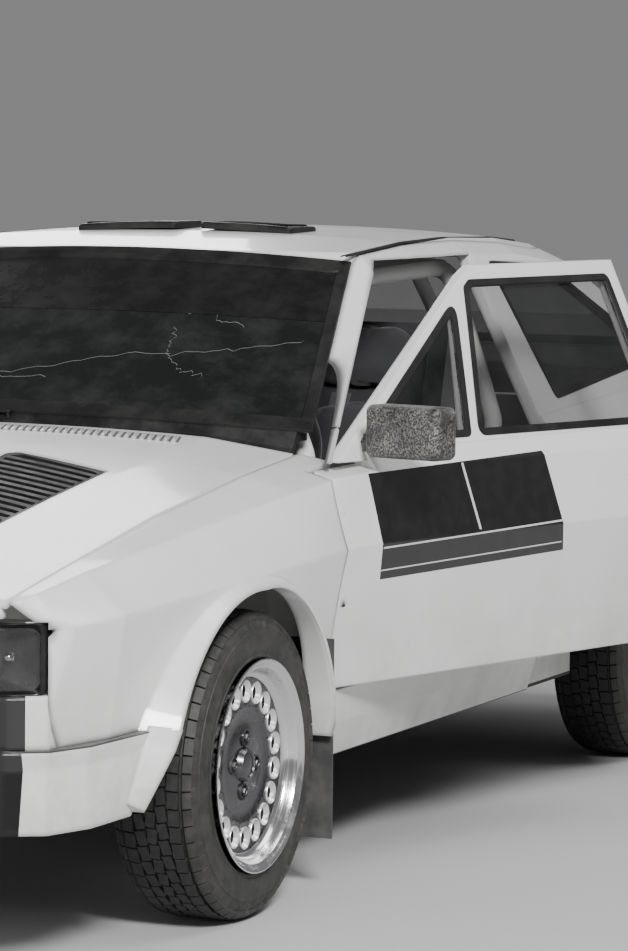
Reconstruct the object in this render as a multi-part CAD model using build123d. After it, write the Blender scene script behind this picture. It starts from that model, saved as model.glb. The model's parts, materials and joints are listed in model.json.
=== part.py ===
from build123d import *
import os
from math import cos, radians, sin, sqrt

# A two-door rally car, in millimetres: X is forward, Y is to the car's left, Z is up.
# The origin is on the ground, on the centre line, half way between the axles.

# Wheels and steering
WHEELBASE = 2524
TRACK = 1484
TYRE_R = 312
TYRE_W = 192
RIM_R = 207
RIM_W = 178
DISH = 36
HOLE_COUNT = 18
HOLE_PCR = 148
HOLE_R = 15
HUB_BORE_R = 30
HUB_FIT = 0.3
AXLE_X = WHEELBASE / 2
WHEEL_Y = TRACK / 2

# Body lines
FRONT_X = AXLE_X + 854
TAIL_X = -AXLE_X - 1000
NOSE_CLEAR_X = FRONT_X + 84
COWL_X = 690
BELT_Z = 905
SILL_Z = 330
FLOOR_Z = 262
SKIN = 14
QUARTER_WALL = 40
DOOR_WALL = 62
FRAME_WALL = 34
ROOF_WALL = 20
SHUT_GAP = 6
SEAL = 0.3
GLASS = 5

# Doors: front and rear edge, bottom, and the hinge axis
DOOR_FRONT_X = 830
DOOR_REAR_X = -480
DOOR_BOTTOM_Z = 412
HINGE_X = DOOR_FRONT_X - 20
HINGE_Y = 812
DOOR_OPEN = 15.6
HINGE_HEIGHTS = [590, 760]
HINGE_TURN = -45
DOOR_TRAVEL = 60
SWEEP_GAP = 5
PIN_R = 5
EYE_R = 11
LEAF = 20
PIN_FIT = 0.3

# Steering axis and suspension: y and z of the steering axis's two ends
ARM_Z = TYRE_R - 112
KINGPIN = [(WHEEL_Y - 70, ARM_Z), (WHEEL_Y - 182, ARM_Z + 660)]
STRUT_R = 25
STRUT_TOP_Z = 780
BALL_R = 13
STUD_R = 8
ARM_T = 16
BEAM_HALF = 150
SHAFT_R = 14
INNER_WING_Y = 470
INNER_WING_WALL = 12
BEAM_TOP_Z = 238
RAIL_Z = 320
HOUSE_R = 400

# Engine bay and floor
ENGINE_X = (AXLE_X + 88, AXLE_X + 688)
BAY_X = AXLE_X + 742
WALL_X = 648
SHELF_Z = 863
TUNNEL_FOOT = 142
TUNNEL_TOP = 112
TUNNEL_Z = 372
HEEL_X = -AXLE_X + 402
TAIL_FLOOR_Z = 400
SILL_TOP_Z = 424

# Jacking pads under the sills: the rear inner corner of the left one, its length and width, and its drop
JACK_X = 400
JACK_Y = 590
JACK_PAD = (100, 60)
JACK_DROP = 8

# Exhaust
PIPE_R = 22
PIPE_WALL = 3
PIPE_Y = -180
TAIL_PIPE_Z = 233

# Bonnet and boot lid
BONNET_WALL = 16
BONNET_BACK_X = 812
BONNET_AXIS = (688, 914)
BONNET_GAP = 11
BOOT_FRONT_X = TAIL_X + 424
BOOT_GAP = 13
BOOT_AXIS = (BOOT_FRONT_X - 18, 974)
BOOT_HALF = 610
BOOT_WALL = 18
BOOT_LIP_Z = 862
DECK_WALL = 22

# Front half of the body, one row for each cross-section, left side.
# x, sill y, sill z, side y, side z, crease y, crease z, edge y, edge z, ridge y, ridge z, middle z
FRONT_ROWS = [
    (COWL_X, 786, SILL_Z, 852, 714, 822, 866, 664, 896, 484, 935, 962),
    (1000, 786, SILL_Z, 850, 703, 800, 838, 672, 871, 479, 898, 920),
    (AXLE_X + 170, 790, SILL_Z, 843, 686, 765, 792, 683, 820, 470, 840, 858),
    (AXLE_X + 588, 778, SILL_Z, 826, 671, 741, 749, 693, 755, 446, 778, 793),
    (FRONT_X - 88, 745, SILL_Z, 783, 661, 731, 724, 698, 726, 434, 748, 762),
    (FRONT_X, 716, SILL_Z, 740, 655, 716, 708, 700, 712, 428, 735, 747),
]

# Cabin and tail, the same columns
REAR_ROWS = [
    (TAIL_X, 720, SILL_Z, 770, 700, 748, 852, 690, 915, 470, 930, 938),
    (TAIL_X + 112, 760, SILL_Z, 806, 712, 776, 872, 704, 938, 480, 954, 962),
    (-AXLE_X - 498, 786, SILL_Z, 846, 716, 806, 884, 740, 976, 500, 992, 1000),
    (-AXLE_X, 788, SILL_Z, 852, 716, 818, 882, 776, 952, 500, 956, 958),
    (DOOR_REAR_X, 788, SILL_Z, 852, 716, 822, 872, 790, 915, 500, 917, 918),
    (COWL_X, 786, SILL_Z, 852, 714, 822, 866, 794, BELT_Z, 500, BELT_Z + 1, BELT_Z + 2),
]

# Glasshouse outline at two heights: the screen's middle x, then x and y of each corner back to the tail
HOUSE_LOW_Z = 885
HOUSE_HIGH_Z = 1296
HOUSE_TOP_Z = 1420
HOUSE_LOW = [912, (749, 711), (815, 794), (DOOR_REAR_X, 800), (-1500, 796), (TAIL_X + 252, 775)]
HOUSE_HIGH = [240, (126, 553), (68, 588), (DOOR_REAR_X, 602), (-1000, 598), (-1131, 585)]
TAIL_BOW = 36

# Roof cross-sections: x, gutter y, gutter z, strip y, strip z, middle z
ROOF_ROWS = [
    (950, 560, 1150, 500, 1190, 1210),
    (330, 560, 1262, 500, 1290, 1300),
    (150, 588, 1276, 552, 1306, 1319),
    (-144, 598, 1294, 552, 1330, 1349),
    (DOOR_REAR_X, 602, 1298, 546, 1338, 1360),
    (-804, 600, 1294, 536, 1334, 1356),
    (-1130, 590, 1276, 524, 1310, 1334),
    (TAIL_X + 162, 570, 1176, 500, 1202, 1224),
]
ROOF_SPREAD_Y = 840

# Openings seen from the front, y and z
STRIP_Y = 556
SCREEN_TOP = [(-STRIP_Y, 1288), (0, 1314), (STRIP_Y, 1288)]
SCREEN_FOOT = [(-691, 938), (0, 965), (691, 938)]
BACKLIGHT_TOP_Y, BACKLIGHT_TOP_Z = 505, 1300
BACKLIGHT_FOOT_Y, BACKLIGHT_FOOT_Z = 640, 1032

# Side openings, x and z
PILLAR_SLOPE = 0.559
PILLAR_X = 784
PILLAR_Z = 895
FRAME_TOP = [(60, 1286), (DOOR_REAR_X, 1291)]
WINDOW_FRONT = [(686, 921), (176, 1208), (304, 921)]
WINDOW_MAIN = [(268, 921), (118, 1236), (92, 1250), (-438, 1256), (-438, 921)]
WINDOW_R = 16
QUARTER_WINDOW = [(-655, 950), (-588, 1276), (-990, 1262), (-1400, 1088), (-1478, 1012)]
QUARTER_R = 18

# Front arch lip, x and z, from behind the wheel to in front of it
ARCH_BACK = [(AXLE_X - 337, 290), (AXLE_X - 314, 420)]
ARCH_MIDDLE = (AXLE_X - 182, 612)
ARCH_TOP = (AXLE_X + 28, 669)
ARCH_FRONT = (AXLE_X + 300, 588)
ARCH_FOOT = [(AXLE_X + 438, 400), (AXLE_X + 538, 270)]
REAR_ARCH_R = TYRE_R + 50
REAR_ARCH_Z = TYRE_R - 6
FLARE_Y = WHEEL_Y + 124
FLARE_DEPTH = 76
FLARE_REACH = 52
FLARE_LIP = 12

# Front bumper, x and y of its outer skin at three heights, left half
BUMPER_X = AXLE_X + 378
BUMPER_TOP_Z = 440
BUMPER_ROWS = [
    (286,
     [(BUMPER_X, 812), (FRONT_X - 166, 806), (FRONT_X - 56, 770), (FRONT_X - 12, 700), (FRONT_X + 16, 420)]),
    (404,
     [(BUMPER_X, 818), (FRONT_X - 166, 796), (FRONT_X - 72, 762), (FRONT_X - 26, 700), (FRONT_X + 8, 420)]),
    (BUMPER_TOP_Z,
     [(BUMPER_X, 826), (FRONT_X - 166, 805), (FRONT_X - 68, 770), (FRONT_X - 20, 700), (FRONT_X + 14, 420)]),
]
BUMPER_WALL = 16
INTAKE_HALF = 672
INTAKE_Z = (322, 428)

# Nose: plan of its front from the wing to the middle, then the lamps, grille and their heights
NOSE_PLAN = [(FRONT_X - 126, 790), (FRONT_X - 76, 762), (FRONT_X - 30, 700), (FRONT_X - 4, 420)]
NOSE_DEPTH = 60
LAMP_Z = (540, 674)
LAMP_Y = (404, 757)
GRILLE_HALF = 392
GRILLE_SLATS = 7

# Bonnet vents: plan corners from the inner rear one round, and the pitch of their slats
VENT = [(1058, 172), (1152, 448), (AXLE_X + 393, 452), (AXLE_X + 393, 214)]
VENT_R = 22
SLAT_PITCH = 36

# Tail
REAR_PANEL_WALL = 18
TAIL_LAMP = [(432, 560), (712, 560), (712, 708), (432, 708)]
PLATE_RECESS = [(-262, 566), (262, 566), (262, 690), (-262, 690)]
REAR_BUMPER_Z = (262, 468)
REAR_BUMPER = [(-AXLE_X - 388, 806), (TAIL_X + 112, 812), (TAIL_X + 28, 776), (TAIL_X - 10, 690)]

# Mirror, flaps and cage
MIRROR_X = 698
FLAP_WALL = 6
FLAP_FOOT_Z = 112
HOOP_R = 22
LEG_R = 20
BAR_R = 18
CROSS_R = 16
CAGE_X = -560
CAGE_Y = 640
CAGE_TOP_Z = 1262
WIPER_X = 787

# Inside: steering wheel's centre, the column's lean and stem, and the driver's seat
STEERING_CENTRE = (324, 370, 906)
STEERING_LEAN = 25
STEERING_STEM = 96
STEERING_R = 180
DASH_HALF = 590
SEAT_X = -150
SEAT_Y = 375


def mirrored(half):
    """A left half outline of (y, z) points, closed by its mirror image."""
    return half + [(-y, z) for y, z in half[::-1] if y]


def mirrored_plan(half):
    """A left half plan of (x, y) points, closed by its mirror image."""
    return half + [(x, -y) for x, y in half[::-1]]


def face_of(points, radius=0):
    """A closed face through the points, with its corners rounded where a radius is given."""
    path = FilletPolyline(*points, radius=radius, close=True) if radius else Polyline(*points, close=True)
    return make_face(path)


def plate_x(points, x0, x1, radius=0):
    """A flat outline of (y, z) points, solid from x0 to x1."""
    return extrude(face_of([(x0, y, z) for y, z in points], radius), amount=x1 - x0, dir=(1, 0, 0))


def plate_y(points, y0, y1, radius=0):
    """A flat outline of (x, z) points, solid from y0 to y1."""
    return extrude(face_of([(x, y0, z) for x, z in points], radius), amount=y1 - y0, dir=(0, 1, 0))


def plate_z(points, z0, z1, radius=0):
    """A flat outline of (x, y) points, solid from z0 to z1."""
    return extrude(face_of([(x, y, z0) for x, y in points], radius), amount=z1 - z0, dir=(0, 0, 1))


def block(x0, x1, y0, y1, z0, z1):
    """A box between two corners."""
    return Pos((x0 + x1) / 2, (y0 + y1) / 2, (z0 + z1) / 2) * Box(x1 - x0, y1 - y0, z1 - z0)


def post(x, y, z0, z1, radius):
    """An upright round bar."""
    return Pos(x, y, (z0 + z1) / 2) * Cylinder(radius, z1 - z0)


def tube(start, end, radius):
    """A round bar from one point to another."""
    axis = Vector(*end) - Vector(*start)
    return extrude(Plane(origin=start, z_dir=axis) * Circle(radius), amount=axis.length)


def across(shape):
    """The same piece on the car's right side."""
    return mirror(shape, about=Plane.XZ)


def together(shapes):
    """Several separate solids as one node."""
    return Compound(children=[solid for shape in shapes for solid in shape.solids()])


def both_sides(shape):
    """A piece and its mirror image as one node."""
    return together([shape, across(shape)])


def body_face(row, inset, top):
    """One cross-section of the lower body, drawn in by inset at its sides and by top at its upper skin."""
    x, sill_y, sill_z, side_y, side_z, crease_y, crease_z, edge_y, edge_z, ridge_y, ridge_z, mid_z = row
    low_z = sill_z - (80 if inset else 0)
    left = [
        (sill_y - inset, low_z),
        (side_y - inset, side_z),
        (crease_y - inset, crease_z - top / 2),
        (edge_y - inset * 0.7, edge_z - top),
        (ridge_y, ridge_z - top),
    ]
    near = [(x, y, z) for y, z in left]
    far = [(x, -y, z) for y, z in left[::-1]]
    crown = ThreePointArc(near[-1], (x, 0, mid_z - top), far[0])
    return make_face([Polyline(*near), crown, Polyline(*far), Line(far[-1], near[0])])


def body_solid(rows, inset=0, top=0):
    """The lower body between its cross-sections."""
    return loft([body_face(row, inset, top) for row in rows], ruled=True)


def house_face(corners, z, inset):
    """The glasshouse outline at one height, drawn in by inset."""
    mid_x, *points = corners
    ahead = [inset, inset, 0, 0, -inset]
    left = [(x - back, y - inset) for (x, y), back in zip(points, ahead)]
    (nose_x, nose_y), (tail_x, tail_y) = left[0], left[-1]
    screen = ThreePointArc((nose_x, -nose_y, z), (mid_x - inset, 0, z), (nose_x, nose_y, z))
    near = Polyline(*[(x, y, z) for x, y in left])
    tail = ThreePointArc((tail_x, tail_y, z), (tail_x - TAIL_BOW, 0, z), (tail_x, -tail_y, z))
    far = Polyline(*[(x, -y, z) for x, y in left[::-1]])
    return make_face([screen, near, tail, far])


def house_solid(inset):
    """The glasshouse walls, carried on above the roof."""
    t = (HOUSE_TOP_Z - HOUSE_HIGH_Z) / (HOUSE_HIGH_Z - HOUSE_LOW_Z)
    above = [HOUSE_HIGH[0] + (HOUSE_HIGH[0] - HOUSE_LOW[0]) * t]
    for (low_x, low_y), (high_x, high_y) in zip(HOUSE_LOW[1:], HOUSE_HIGH[1:]):
        above.append((high_x + (high_x - low_x) * t, high_y + (high_y - low_y) * t))
    faces = [house_face(HOUSE_LOW, HOUSE_LOW_Z, inset), house_face(above, HOUSE_TOP_Z, inset)]
    return loft(faces, ruled=True)


def roof_face(row, drop):
    """One cross-section of the roof, lowered by drop, over a space wider than the car."""
    x, gutter_y, gutter_z, strip_y, strip_z, mid_z = row
    fall = (strip_z - gutter_z) / (gutter_y - strip_y) * (ROOF_SPREAD_Y - gutter_y)
    wall = [(ROOF_SPREAD_Y, HOUSE_LOW_Z - 20), (ROOF_SPREAD_Y, gutter_z - fall - drop)]
    left = wall + [(strip_y, strip_z - drop)]
    near = [(x, y, z) for y, z in left]
    far = [(x, -y, z) for y, z in left[::-1]]
    crown = ThreePointArc(near[-1], (x, 0, mid_z - drop), far[0])
    return make_face([Polyline(*near), crown, Polyline(*far), Line(far[-1], near[0])])


def cabin_solid(inset=0, drop=0):
    """The glasshouse under its roof."""
    return house_solid(inset) & loft([roof_face(row, drop) for row in ROOF_ROWS], ruled=True)


def pillar_z(x):
    """Height of the windscreen pillar's back edge."""
    return PILLAR_Z + PILLAR_SLOPE * (PILLAR_X - x)


def door_outline(gap=0):
    """The door and its window frame seen from the side, grown by gap."""
    front, rear, foot = DOOR_FRONT_X + gap, DOOR_REAR_X - gap, DOOR_BOTTOM_Z - gap
    down = SHUT_GAP * 1.15 - gap * 1.15
    line = [(x, pillar_z(x) - down) for x in (front - 16, 112)]
    (top_x, top_z), (end_x, end_z) = FRAME_TOP
    lower = [(rear, foot), (front, foot), (front, line[0][1] - 30)]
    return lower + line + [(top_x, top_z + gap), (rear, end_z + gap)]


def door_space(gap):
    """The room that the closed door takes, grown by gap."""
    waist = 814 - DOOR_WALL - gap
    top = HOUSE_HIGH[3][1] - FRAME_WALL - gap
    front_view = [
        (724 - gap, 300), (waist, BELT_Z), (top, HOUSE_HIGH_Z), (500, HOUSE_TOP_Z), (900, HOUSE_TOP_Z),
        (900, 300),
    ]
    return plate_y(door_outline(gap), 500, 900) & plate_x(front_view, -700, 900)


def door_sweep():
    """The room that the door's front edge turns through, about the hinge axis."""
    _, sill_y, sill_z, side_y, side_z, crease_y, crease_z, *_ = FRONT_ROWS[0]
    reach = DOOR_FRONT_X - HINGE_X
    profile = [(0, 0, sill_z)]
    for y, z in ((sill_y, sill_z), (side_y, side_z), (crease_y, crease_z)):
        profile.append((sqrt(reach ** 2 + (y - HINGE_Y) ** 2) + SWEEP_GAP, 0, z))
    profile.append((0, 0, crease_z + SWEEP_GAP))
    return Pos(HINGE_X, HINGE_Y, 0) * revolve(face_of(profile), Axis.Z)


def arch_face():
    """The front arch's opening in side view."""
    lines = [
        Line(*[(x, 0, z) for x, z in ARCH_BACK]),
        ThreePointArc(*[(x, 0, z) for x, z in (ARCH_BACK[1], ARCH_MIDDLE, ARCH_TOP)]),
        ThreePointArc(*[(x, 0, z) for x, z in (ARCH_TOP, ARCH_FRONT, ARCH_FOOT[0])]),
        Line(*[(x, 0, z) for x, z in ARCH_FOOT]),
        Line(*[(x, 0, z) for x, z in (ARCH_FOOT[1], ARCH_BACK[0])]),
    ]
    return make_face(lines)


def front_arch(y0, y1):
    """The front arch's opening, solid from y0 to y1."""
    return extrude(Pos(0, y0, 0) * arch_face(), amount=y1 - y0, dir=(0, 1, 0))


def rear_arch(y0, y1, radius=REAR_ARCH_R):
    """The rear arch's opening, solid from y0 to y1."""
    return Pos(-AXLE_X, (y0 + y1) / 2, REAR_ARCH_Z) * Rot(90, 0, 0) * Cylinder(radius, y1 - y0)


def screen_outline(gap):
    """The windscreen's edge seen from the front, drawn in by gap."""
    (foot_y, foot_z), (_, mid_z) = SCREEN_FOOT[2], SCREEN_FOOT[1]
    (top_y, top_z), (_, crown_z) = SCREEN_TOP[2], SCREEN_TOP[1]
    lines = [
        ThreePointArc((0, -top_y + gap, top_z - gap), (0, 0, crown_z - gap), (0, top_y - gap, top_z - gap)),
        Line((0, top_y - gap, top_z - gap), (0, foot_y - gap, foot_z + gap)),
        ThreePointArc((0, foot_y - gap, foot_z + gap), (0, 0, mid_z + gap), (0, -foot_y + gap, foot_z + gap)),
        Line((0, -foot_y + gap, foot_z + gap), (0, -top_y + gap, top_z - gap)),
    ]
    return make_face(lines)


def backlight_points(gap):
    """The rear window's corners seen from behind, drawn in by gap."""
    foot_y, top_y = BACKLIGHT_FOOT_Y - gap, BACKLIGHT_TOP_Y - gap
    foot_z, top_z = BACKLIGHT_FOOT_Z + gap, BACKLIGHT_TOP_Z - gap
    return [(foot_y, foot_z), (top_y, top_z), (-top_y, top_z), (-foot_y, foot_z)]


def flare_face(grow):
    """The front arch's outline pushed away from the wheel by grow."""
    out = []
    for x, z in (ARCH_BACK[1], ARCH_MIDDLE, ARCH_TOP, ARCH_FRONT, ARCH_FOOT[0]):
        dx, dz = x - AXLE_X, z - TYRE_R
        share = 1 + grow / sqrt(dx * dx + dz * dz)
        out.append((AXLE_X + dx * share, 0, TYRE_R + dz * share))
    back, middle, top, front, foot = out
    skirt = Polyline(foot, (foot[0], 0, SILL_Z), (back[0], 0, SILL_Z), back)
    return make_face([ThreePointArc(back, middle, top), ThreePointArc(top, front, foot), skirt])


def nose_space(inset=0):
    """All the ground behind the nose's front, in plan, drawn in by inset."""
    left = [(600, 900), (NOSE_PLAN[0][0] - inset, 900)] + [(x - inset, y) for x, y in NOSE_PLAN]
    return plate_z(mirrored_plan(left), 200, 1000)


def make_wing(front):
    """A front wing: its skin from the bonnet's shut line down to the sill and bumper, and its flared arch."""
    inner = body_solid(FRONT_ROWS, SKIN, SKIN)
    plan = [(692, 664 + SHUT_GAP), (FRONT_X, 700 + SHUT_GAP), (FRONT_X, 900), (692, 900)]
    skin = (front - inner) & plate_z(plan, 200, 1000) & nose_space()
    root = Pos(0, FLARE_Y - FLARE_DEPTH, 0) * flare_face(FLARE_REACH)
    flare = loft([root, Pos(0, FLARE_Y, 0) * flare_face(FLARE_LIP)], ruled=True)
    wing = skin + (flare - inner) - door_space(SHUT_GAP) - door_sweep() - front_arch(500, 900)
    wing -= block(600, DOOR_FRONT_X + SHUT_GAP, 700, 900, 200, DOOR_BOTTOM_Z)
    wing -= block(BUMPER_X - 40, FRONT_X + 10, 500, 900, 200, BUMPER_TOP_Z + SEAL)
    return wing - block(NOSE_PLAN[0][0], FRONT_X + 10, 500, NOSE_PLAN[1][1], 200, LAMP_Z[1] + 2)


def bonnet_plan():
    """The bonnet's outline in plan."""
    rear, front = (706, 664), (NOSE_PLAN[2][0], 700)
    far_rear, far_front = (rear[0], -rear[1]), (front[0], -front[1])
    middle = (NOSE_PLAN[3][0] - 12, 0)
    lines = [
        ThreePointArc(far_rear, (BONNET_BACK_X, 0), rear),
        Line(rear, front),
        ThreePointArc(front, middle, far_front),
        Line(far_front, far_rear),
    ]
    return make_face(lines)


def vent_plan(grow=0):
    """One bonnet vent's outline in plan, grown by grow."""
    (x0, y0), (x1, y1), (x2, y2), (x3, y3) = VENT
    return [(x0 - grow, y0 - grow), (x1 - grow, y1 + grow), (x2 + grow, y2 + grow), (x3 + grow, y3 - grow)]


def make_bonnet(front):
    """The bonnet: one crowned panel with two slatted openings."""
    skin = front - body_solid(FRONT_ROWS, 1, BONNET_WALL)
    nose = (nose_space(2) - nose_space(2 + BONNET_WALL)) & front
    skin += nose & block(FRONT_X - 116, FRONT_X, -690, 690, LAMP_Z[1] + 8, 900)
    bonnet = skin & extrude(Pos(0, 0, 500) * bonnet_plan(), amount=700)
    opening = plate_z(vent_plan(), 600, 1100, VENT_R)
    return bonnet - opening - across(opening)


def make_vents():
    """The bonnet's black grilles: slats across each opening, set a little below the skin."""
    depth = body_solid(FRONT_ROWS, 1, 4) - body_solid(FRONT_ROWS, 1, BONNET_WALL + 8)
    room = plate_z(vent_plan(-SEAL), 600, 1100, VENT_R)
    grid = room - plate_z(vent_plan(-16), 600, 1100, VENT_R)
    (x0, y0), (x1, y1) = VENT[:2]
    slat = SLAT_PITCH / 2
    for i in range(1, int((VENT[3][0] - x0) / SLAT_PITCH)):
        x = x0 + i * SLAT_PITCH
        across_y = x + x1 - x0
        grid += plate_z([(x, y0), (across_y, y1), (across_y + slat, y1), (x + slat, y0)], 600, 1100) & room
    return both_sides(grid & depth)


def make_scuttle():
    """The raised panel between the bonnet and the windscreen."""
    (foot_y, foot_z), (_, mid_z) = SCREEN_FOOT[2], SCREEN_FOOT[1]
    sections = []
    half, count = 660, 8
    for i in range(count + 1):
        y = -half + i * 2 * half / count
        share = (y / foot_y) ** 2
        glass_x, glass_z = 781 - 112 * share, mid_z - SEAL - (mid_z - foot_z) * share
        lip_x = BONNET_BACK_X - BONNET_GAP - 112 * share
        lip_z = 943 - 12 * share - 36 * share ** 3
        sections.append(face_of([
            (lip_x, y, lip_z), (glass_x, y, glass_z), (glass_x - 55, y, glass_z - 6),
            (glass_x - 55, y, glass_z - 22), (glass_x - 6, y, glass_z - 20), (lip_x - 14, y, lip_z - 20),
            (lip_x - 14, y, SHELF_Z), (lip_x, y, SHELF_Z),
        ]))
    return loft(sections, ruled=True)


def make_bulkhead():
    """The firewall and cowl shelf, the posts behind the wings, the engine bay's walls and strut towers."""
    room = body_solid(FRONT_ROWS, SKIN + SEAL, BONNET_WALL + SEAL)
    base, top = FLOOR_Z - 12, SHELF_Z - 13
    tunnel = [(-TUNNEL_FOOT - 3, 200), (-TUNNEL_FOOT - 3, FLOOR_Z + 4), (-TUNNEL_TOP - 3, TUNNEL_Z + 13)]
    tunnel += [(-y, z) for y, z in tunnel[::-1]]
    wall = block(WALL_X, WALL_X + 12, -702, 702, base, top) - plate_x(tunnel, WALL_X - 5, WALL_X + 20)
    shelf = block(WALL_X, 800, -660, 660, top, SHELF_Z - SEAL)
    outer_y = INNER_WING_Y + INNER_WING_WALL
    left = block(WALL_X, 898, 690, 702, base, top)
    left += (block(836, 898, 690, 900, 345, top) & room) - door_space(SHUT_GAP) - door_sweep()
    left += block(WALL_X, 830, INNER_WING_Y, outer_y, RAIL_Z, top)
    left += block(820, BAY_X, INNER_WING_Y, outer_y, RAIL_Z, 1000) & room
    left += block(WALL_X, BAY_X, INNER_WING_Y - 70, outer_y, RAIL_Z, RAIL_Z + 12)
    left -= block(AXLE_X - 40, AXLE_X + 40, 400, 500, TYRE_R - 12, TYRE_R + 40)
    strut_y = kingpin_y(STRUT_TOP_Z)
    tower_z = STRUT_TOP_Z + SEAL
    left += block(AXLE_X - 80, AXLE_X + 80, INNER_WING_Y, strut_y + 60, tower_z, tower_z + 12)
    ledge = room - body_solid(FRONT_ROWS, SKIN, BONNET_WALL + 12)
    left += ledge & block(880, BAY_X, INNER_WING_Y, 640, 500, 1000)
    slam = block(BAY_X - 12, BAY_X, -700, 700, BUMPER_TOP_Z, 560)
    return wall + shelf + left + across(left) + slam


def hinge_sector(radius, first, last, z0, z1):
    """The slice of ground round the door's hinge between two angles."""
    points = [(HINGE_X, HINGE_Y)]
    for i in range(5):
        turn = radians(first + (last - first) * i / 4)
        points.append((HINGE_X + radius * cos(turn), HINGE_Y + radius * sin(turn)))
    return plate_z(points, z0, z1)


def make_pillar(shell, front):
    """The windscreen pillar and the roof rail behind it, as far as the door's rear edge."""
    (foot_y, foot_z), (top_y, top_z) = SCREEN_FOOT[2], SCREEN_TOP[2]
    low_z = 880
    lean = (foot_y - top_y) / (top_z - foot_z)
    front_view = [
        (foot_y + lean * (foot_z - low_z), low_z), (top_y, top_z),
        (top_y, HOUSE_TOP_Z), (900, HOUSE_TOP_Z), (900, low_z),
    ]
    pillar = shell & plate_x(front_view, DOOR_REAR_X - SHUT_GAP, 950)
    pillar -= plate_y(door_outline(SHUT_GAP), 400, 900)
    below = block(DOOR_REAR_X - 20, COWL_X, 400, 900, 700, pillar_z(COWL_X) + SHUT_GAP)
    return pillar - Pos(0, 0, SEAL) * front - below


def make_roof(shell):
    """The roof panel between its two strips, with the headers over both screens."""
    (side_y, side_z), (_, crown_z) = SCREEN_TOP[2], SCREEN_TOP[1]
    y = STRIP_Y - SEAL
    lower = Polyline((0, -y, side_z + SEAL), (0, -y, HOUSE_TOP_Z), (0, y, HOUSE_TOP_Z), (0, y, side_z + SEAL))
    edge = ThreePointArc((0, y, side_z + SEAL), (0, 0, crown_z + SEAL), (0, -y, side_z + SEAL))
    room = extrude(Pos(-200, 0, 0) * make_face([lower, edge]), amount=700, dir=(1, 0, 0))
    rear_z = BACKLIGHT_TOP_Z + SEAL
    room += plate_x([(-y, rear_z), (-y, HOUSE_TOP_Z), (y, HOUSE_TOP_Z), (y, rear_z)], -1600, -199)
    return shell & room


def boot_plan(gap=0):
    """The boot lid's outline in plan, grown by gap."""
    return [(BOOT_FRONT_X + gap, -BOOT_HALF - gap), (BOOT_FRONT_X + gap, BOOT_HALF + gap),
            (TAIL_X - 20, BOOT_HALF + gap), (TAIL_X - 20, -BOOT_HALF - gap)]


def tail_hull(rear):
    """The rear body and glasshouse as one pressing, before it is cut into panels."""
    inner = body_solid(REAR_ROWS, QUARTER_WALL, DECK_WALL) + cabin_solid(FRAME_WALL, ROOF_WALL)
    return (rear + cabin_solid()) - inner - block(-AXLE_X - 428, COWL_X, -640, 640, 300, 1000)


def make_quarter(hull):
    """A rear quarter: door post, roof pillar and body side in one, with a flared arch and a window hole."""
    seam_y = BOOT_HALF + SHUT_GAP
    foot_y, foot_z, top_y, top_z = BACKLIGHT_FOOT_Y, BACKLIGHT_FOOT_Z, BACKLIGHT_TOP_Y, BACKLIGHT_TOP_Z
    front_view = [
        (seam_y, 200), (seam_y, foot_z), (foot_y, foot_z), (top_y, top_z), (STRIP_Y, top_z),
        (STRIP_Y, HOUSE_TOP_Z), (900, HOUSE_TOP_Z), (900, 200),
    ]
    quarter = hull & plate_x(front_view, TAIL_X - 1, DOOR_REAR_X - SHUT_GAP)
    cone_y = FLARE_Y - FLARE_DEPTH
    low = (Align.CENTER, Align.CENTER, Align.MIN)
    ring = Pos(-AXLE_X, cone_y, REAR_ARCH_Z) * Rot(-90, 0, 0) * Cone(
        REAR_ARCH_R + FLARE_REACH, REAR_ARCH_R + FLARE_LIP, FLARE_DEPTH, align=low)
    reach = REAR_ARCH_R + FLARE_REACH + 1
    ring -= block(-AXLE_X - reach, -AXLE_X + reach, 700, 900, -200, SILL_Z)
    ring -= body_solid(REAR_ROWS, QUARTER_WALL, DECK_WALL)
    quarter = quarter + ring - rear_arch(500, 900)
    quarter -= plate_y(QUARTER_WINDOW, 400, 900, QUARTER_R)
    gutter = body_solid(REAR_ROWS, QUARTER_WALL - 4, DECK_WALL + 2 * SEAL)
    gutter -= body_solid(REAR_ROWS, QUARTER_WALL - 4, DECK_WALL + 8)
    deck = body_solid(REAR_ROWS, QUARTER_WALL - 4, DECK_WALL - 2)
    deck -= body_solid(REAR_ROWS, QUARTER_WALL - 4, DECK_WALL + 8)
    front_x, rear_x = BOOT_FRONT_X + BOOT_GAP, TAIL_X + REAR_PANEL_WALL + 1
    quarter += gutter & block(rear_x, BOOT_AXIS[0] - 25, BOOT_HALF - 20, seam_y + 20, 800, 1100)
    quarter += deck & block(rear_x, front_x, seam_y, seam_y + 20, 800, 1100)
    return quarter - block(TAIL_X - 10, REAR_BUMPER[0][0] + 10, 500, 900, 200, REAR_BUMPER_Z[1] + SEAL)


def make_cowl(hull):
    """The fixed strip of deck between the rear window and the boot lid."""
    half = BOOT_HALF + SHUT_GAP - SEAL
    return hull & block(BOOT_FRONT_X + BOOT_GAP, -1500, -half, half, 900, BACKLIGHT_FOOT_Z - SEAL)


def make_boot_lid(hull):
    """The boot lid: the deck from its front shut line back, with a lip down the tail."""
    room = plate_z(boot_plan(), BOOT_LIP_Z, 1100) & block(TAIL_X - 1, BOOT_FRONT_X, -700, 700, 800, 1100)
    deck = hull & room
    lip = body_solid(REAR_ROWS) & block(TAIL_X, TAIL_X + BOOT_WALL, -BOOT_HALF, BOOT_HALF, BOOT_LIP_Z, 1000)
    return deck + lip


def make_spoiler():
    """The rubber spoiler along the boot lid's rear edge."""
    profile = [(TAIL_X + 178, 944), (TAIL_X + 142, 966), (TAIL_X + 6, 998), (TAIL_X, 984), (TAIL_X + 12, 914)]
    return plate_y(profile, -596, 596) - (Pos(0, 0, SEAL) * body_solid(REAR_ROWS))


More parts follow.
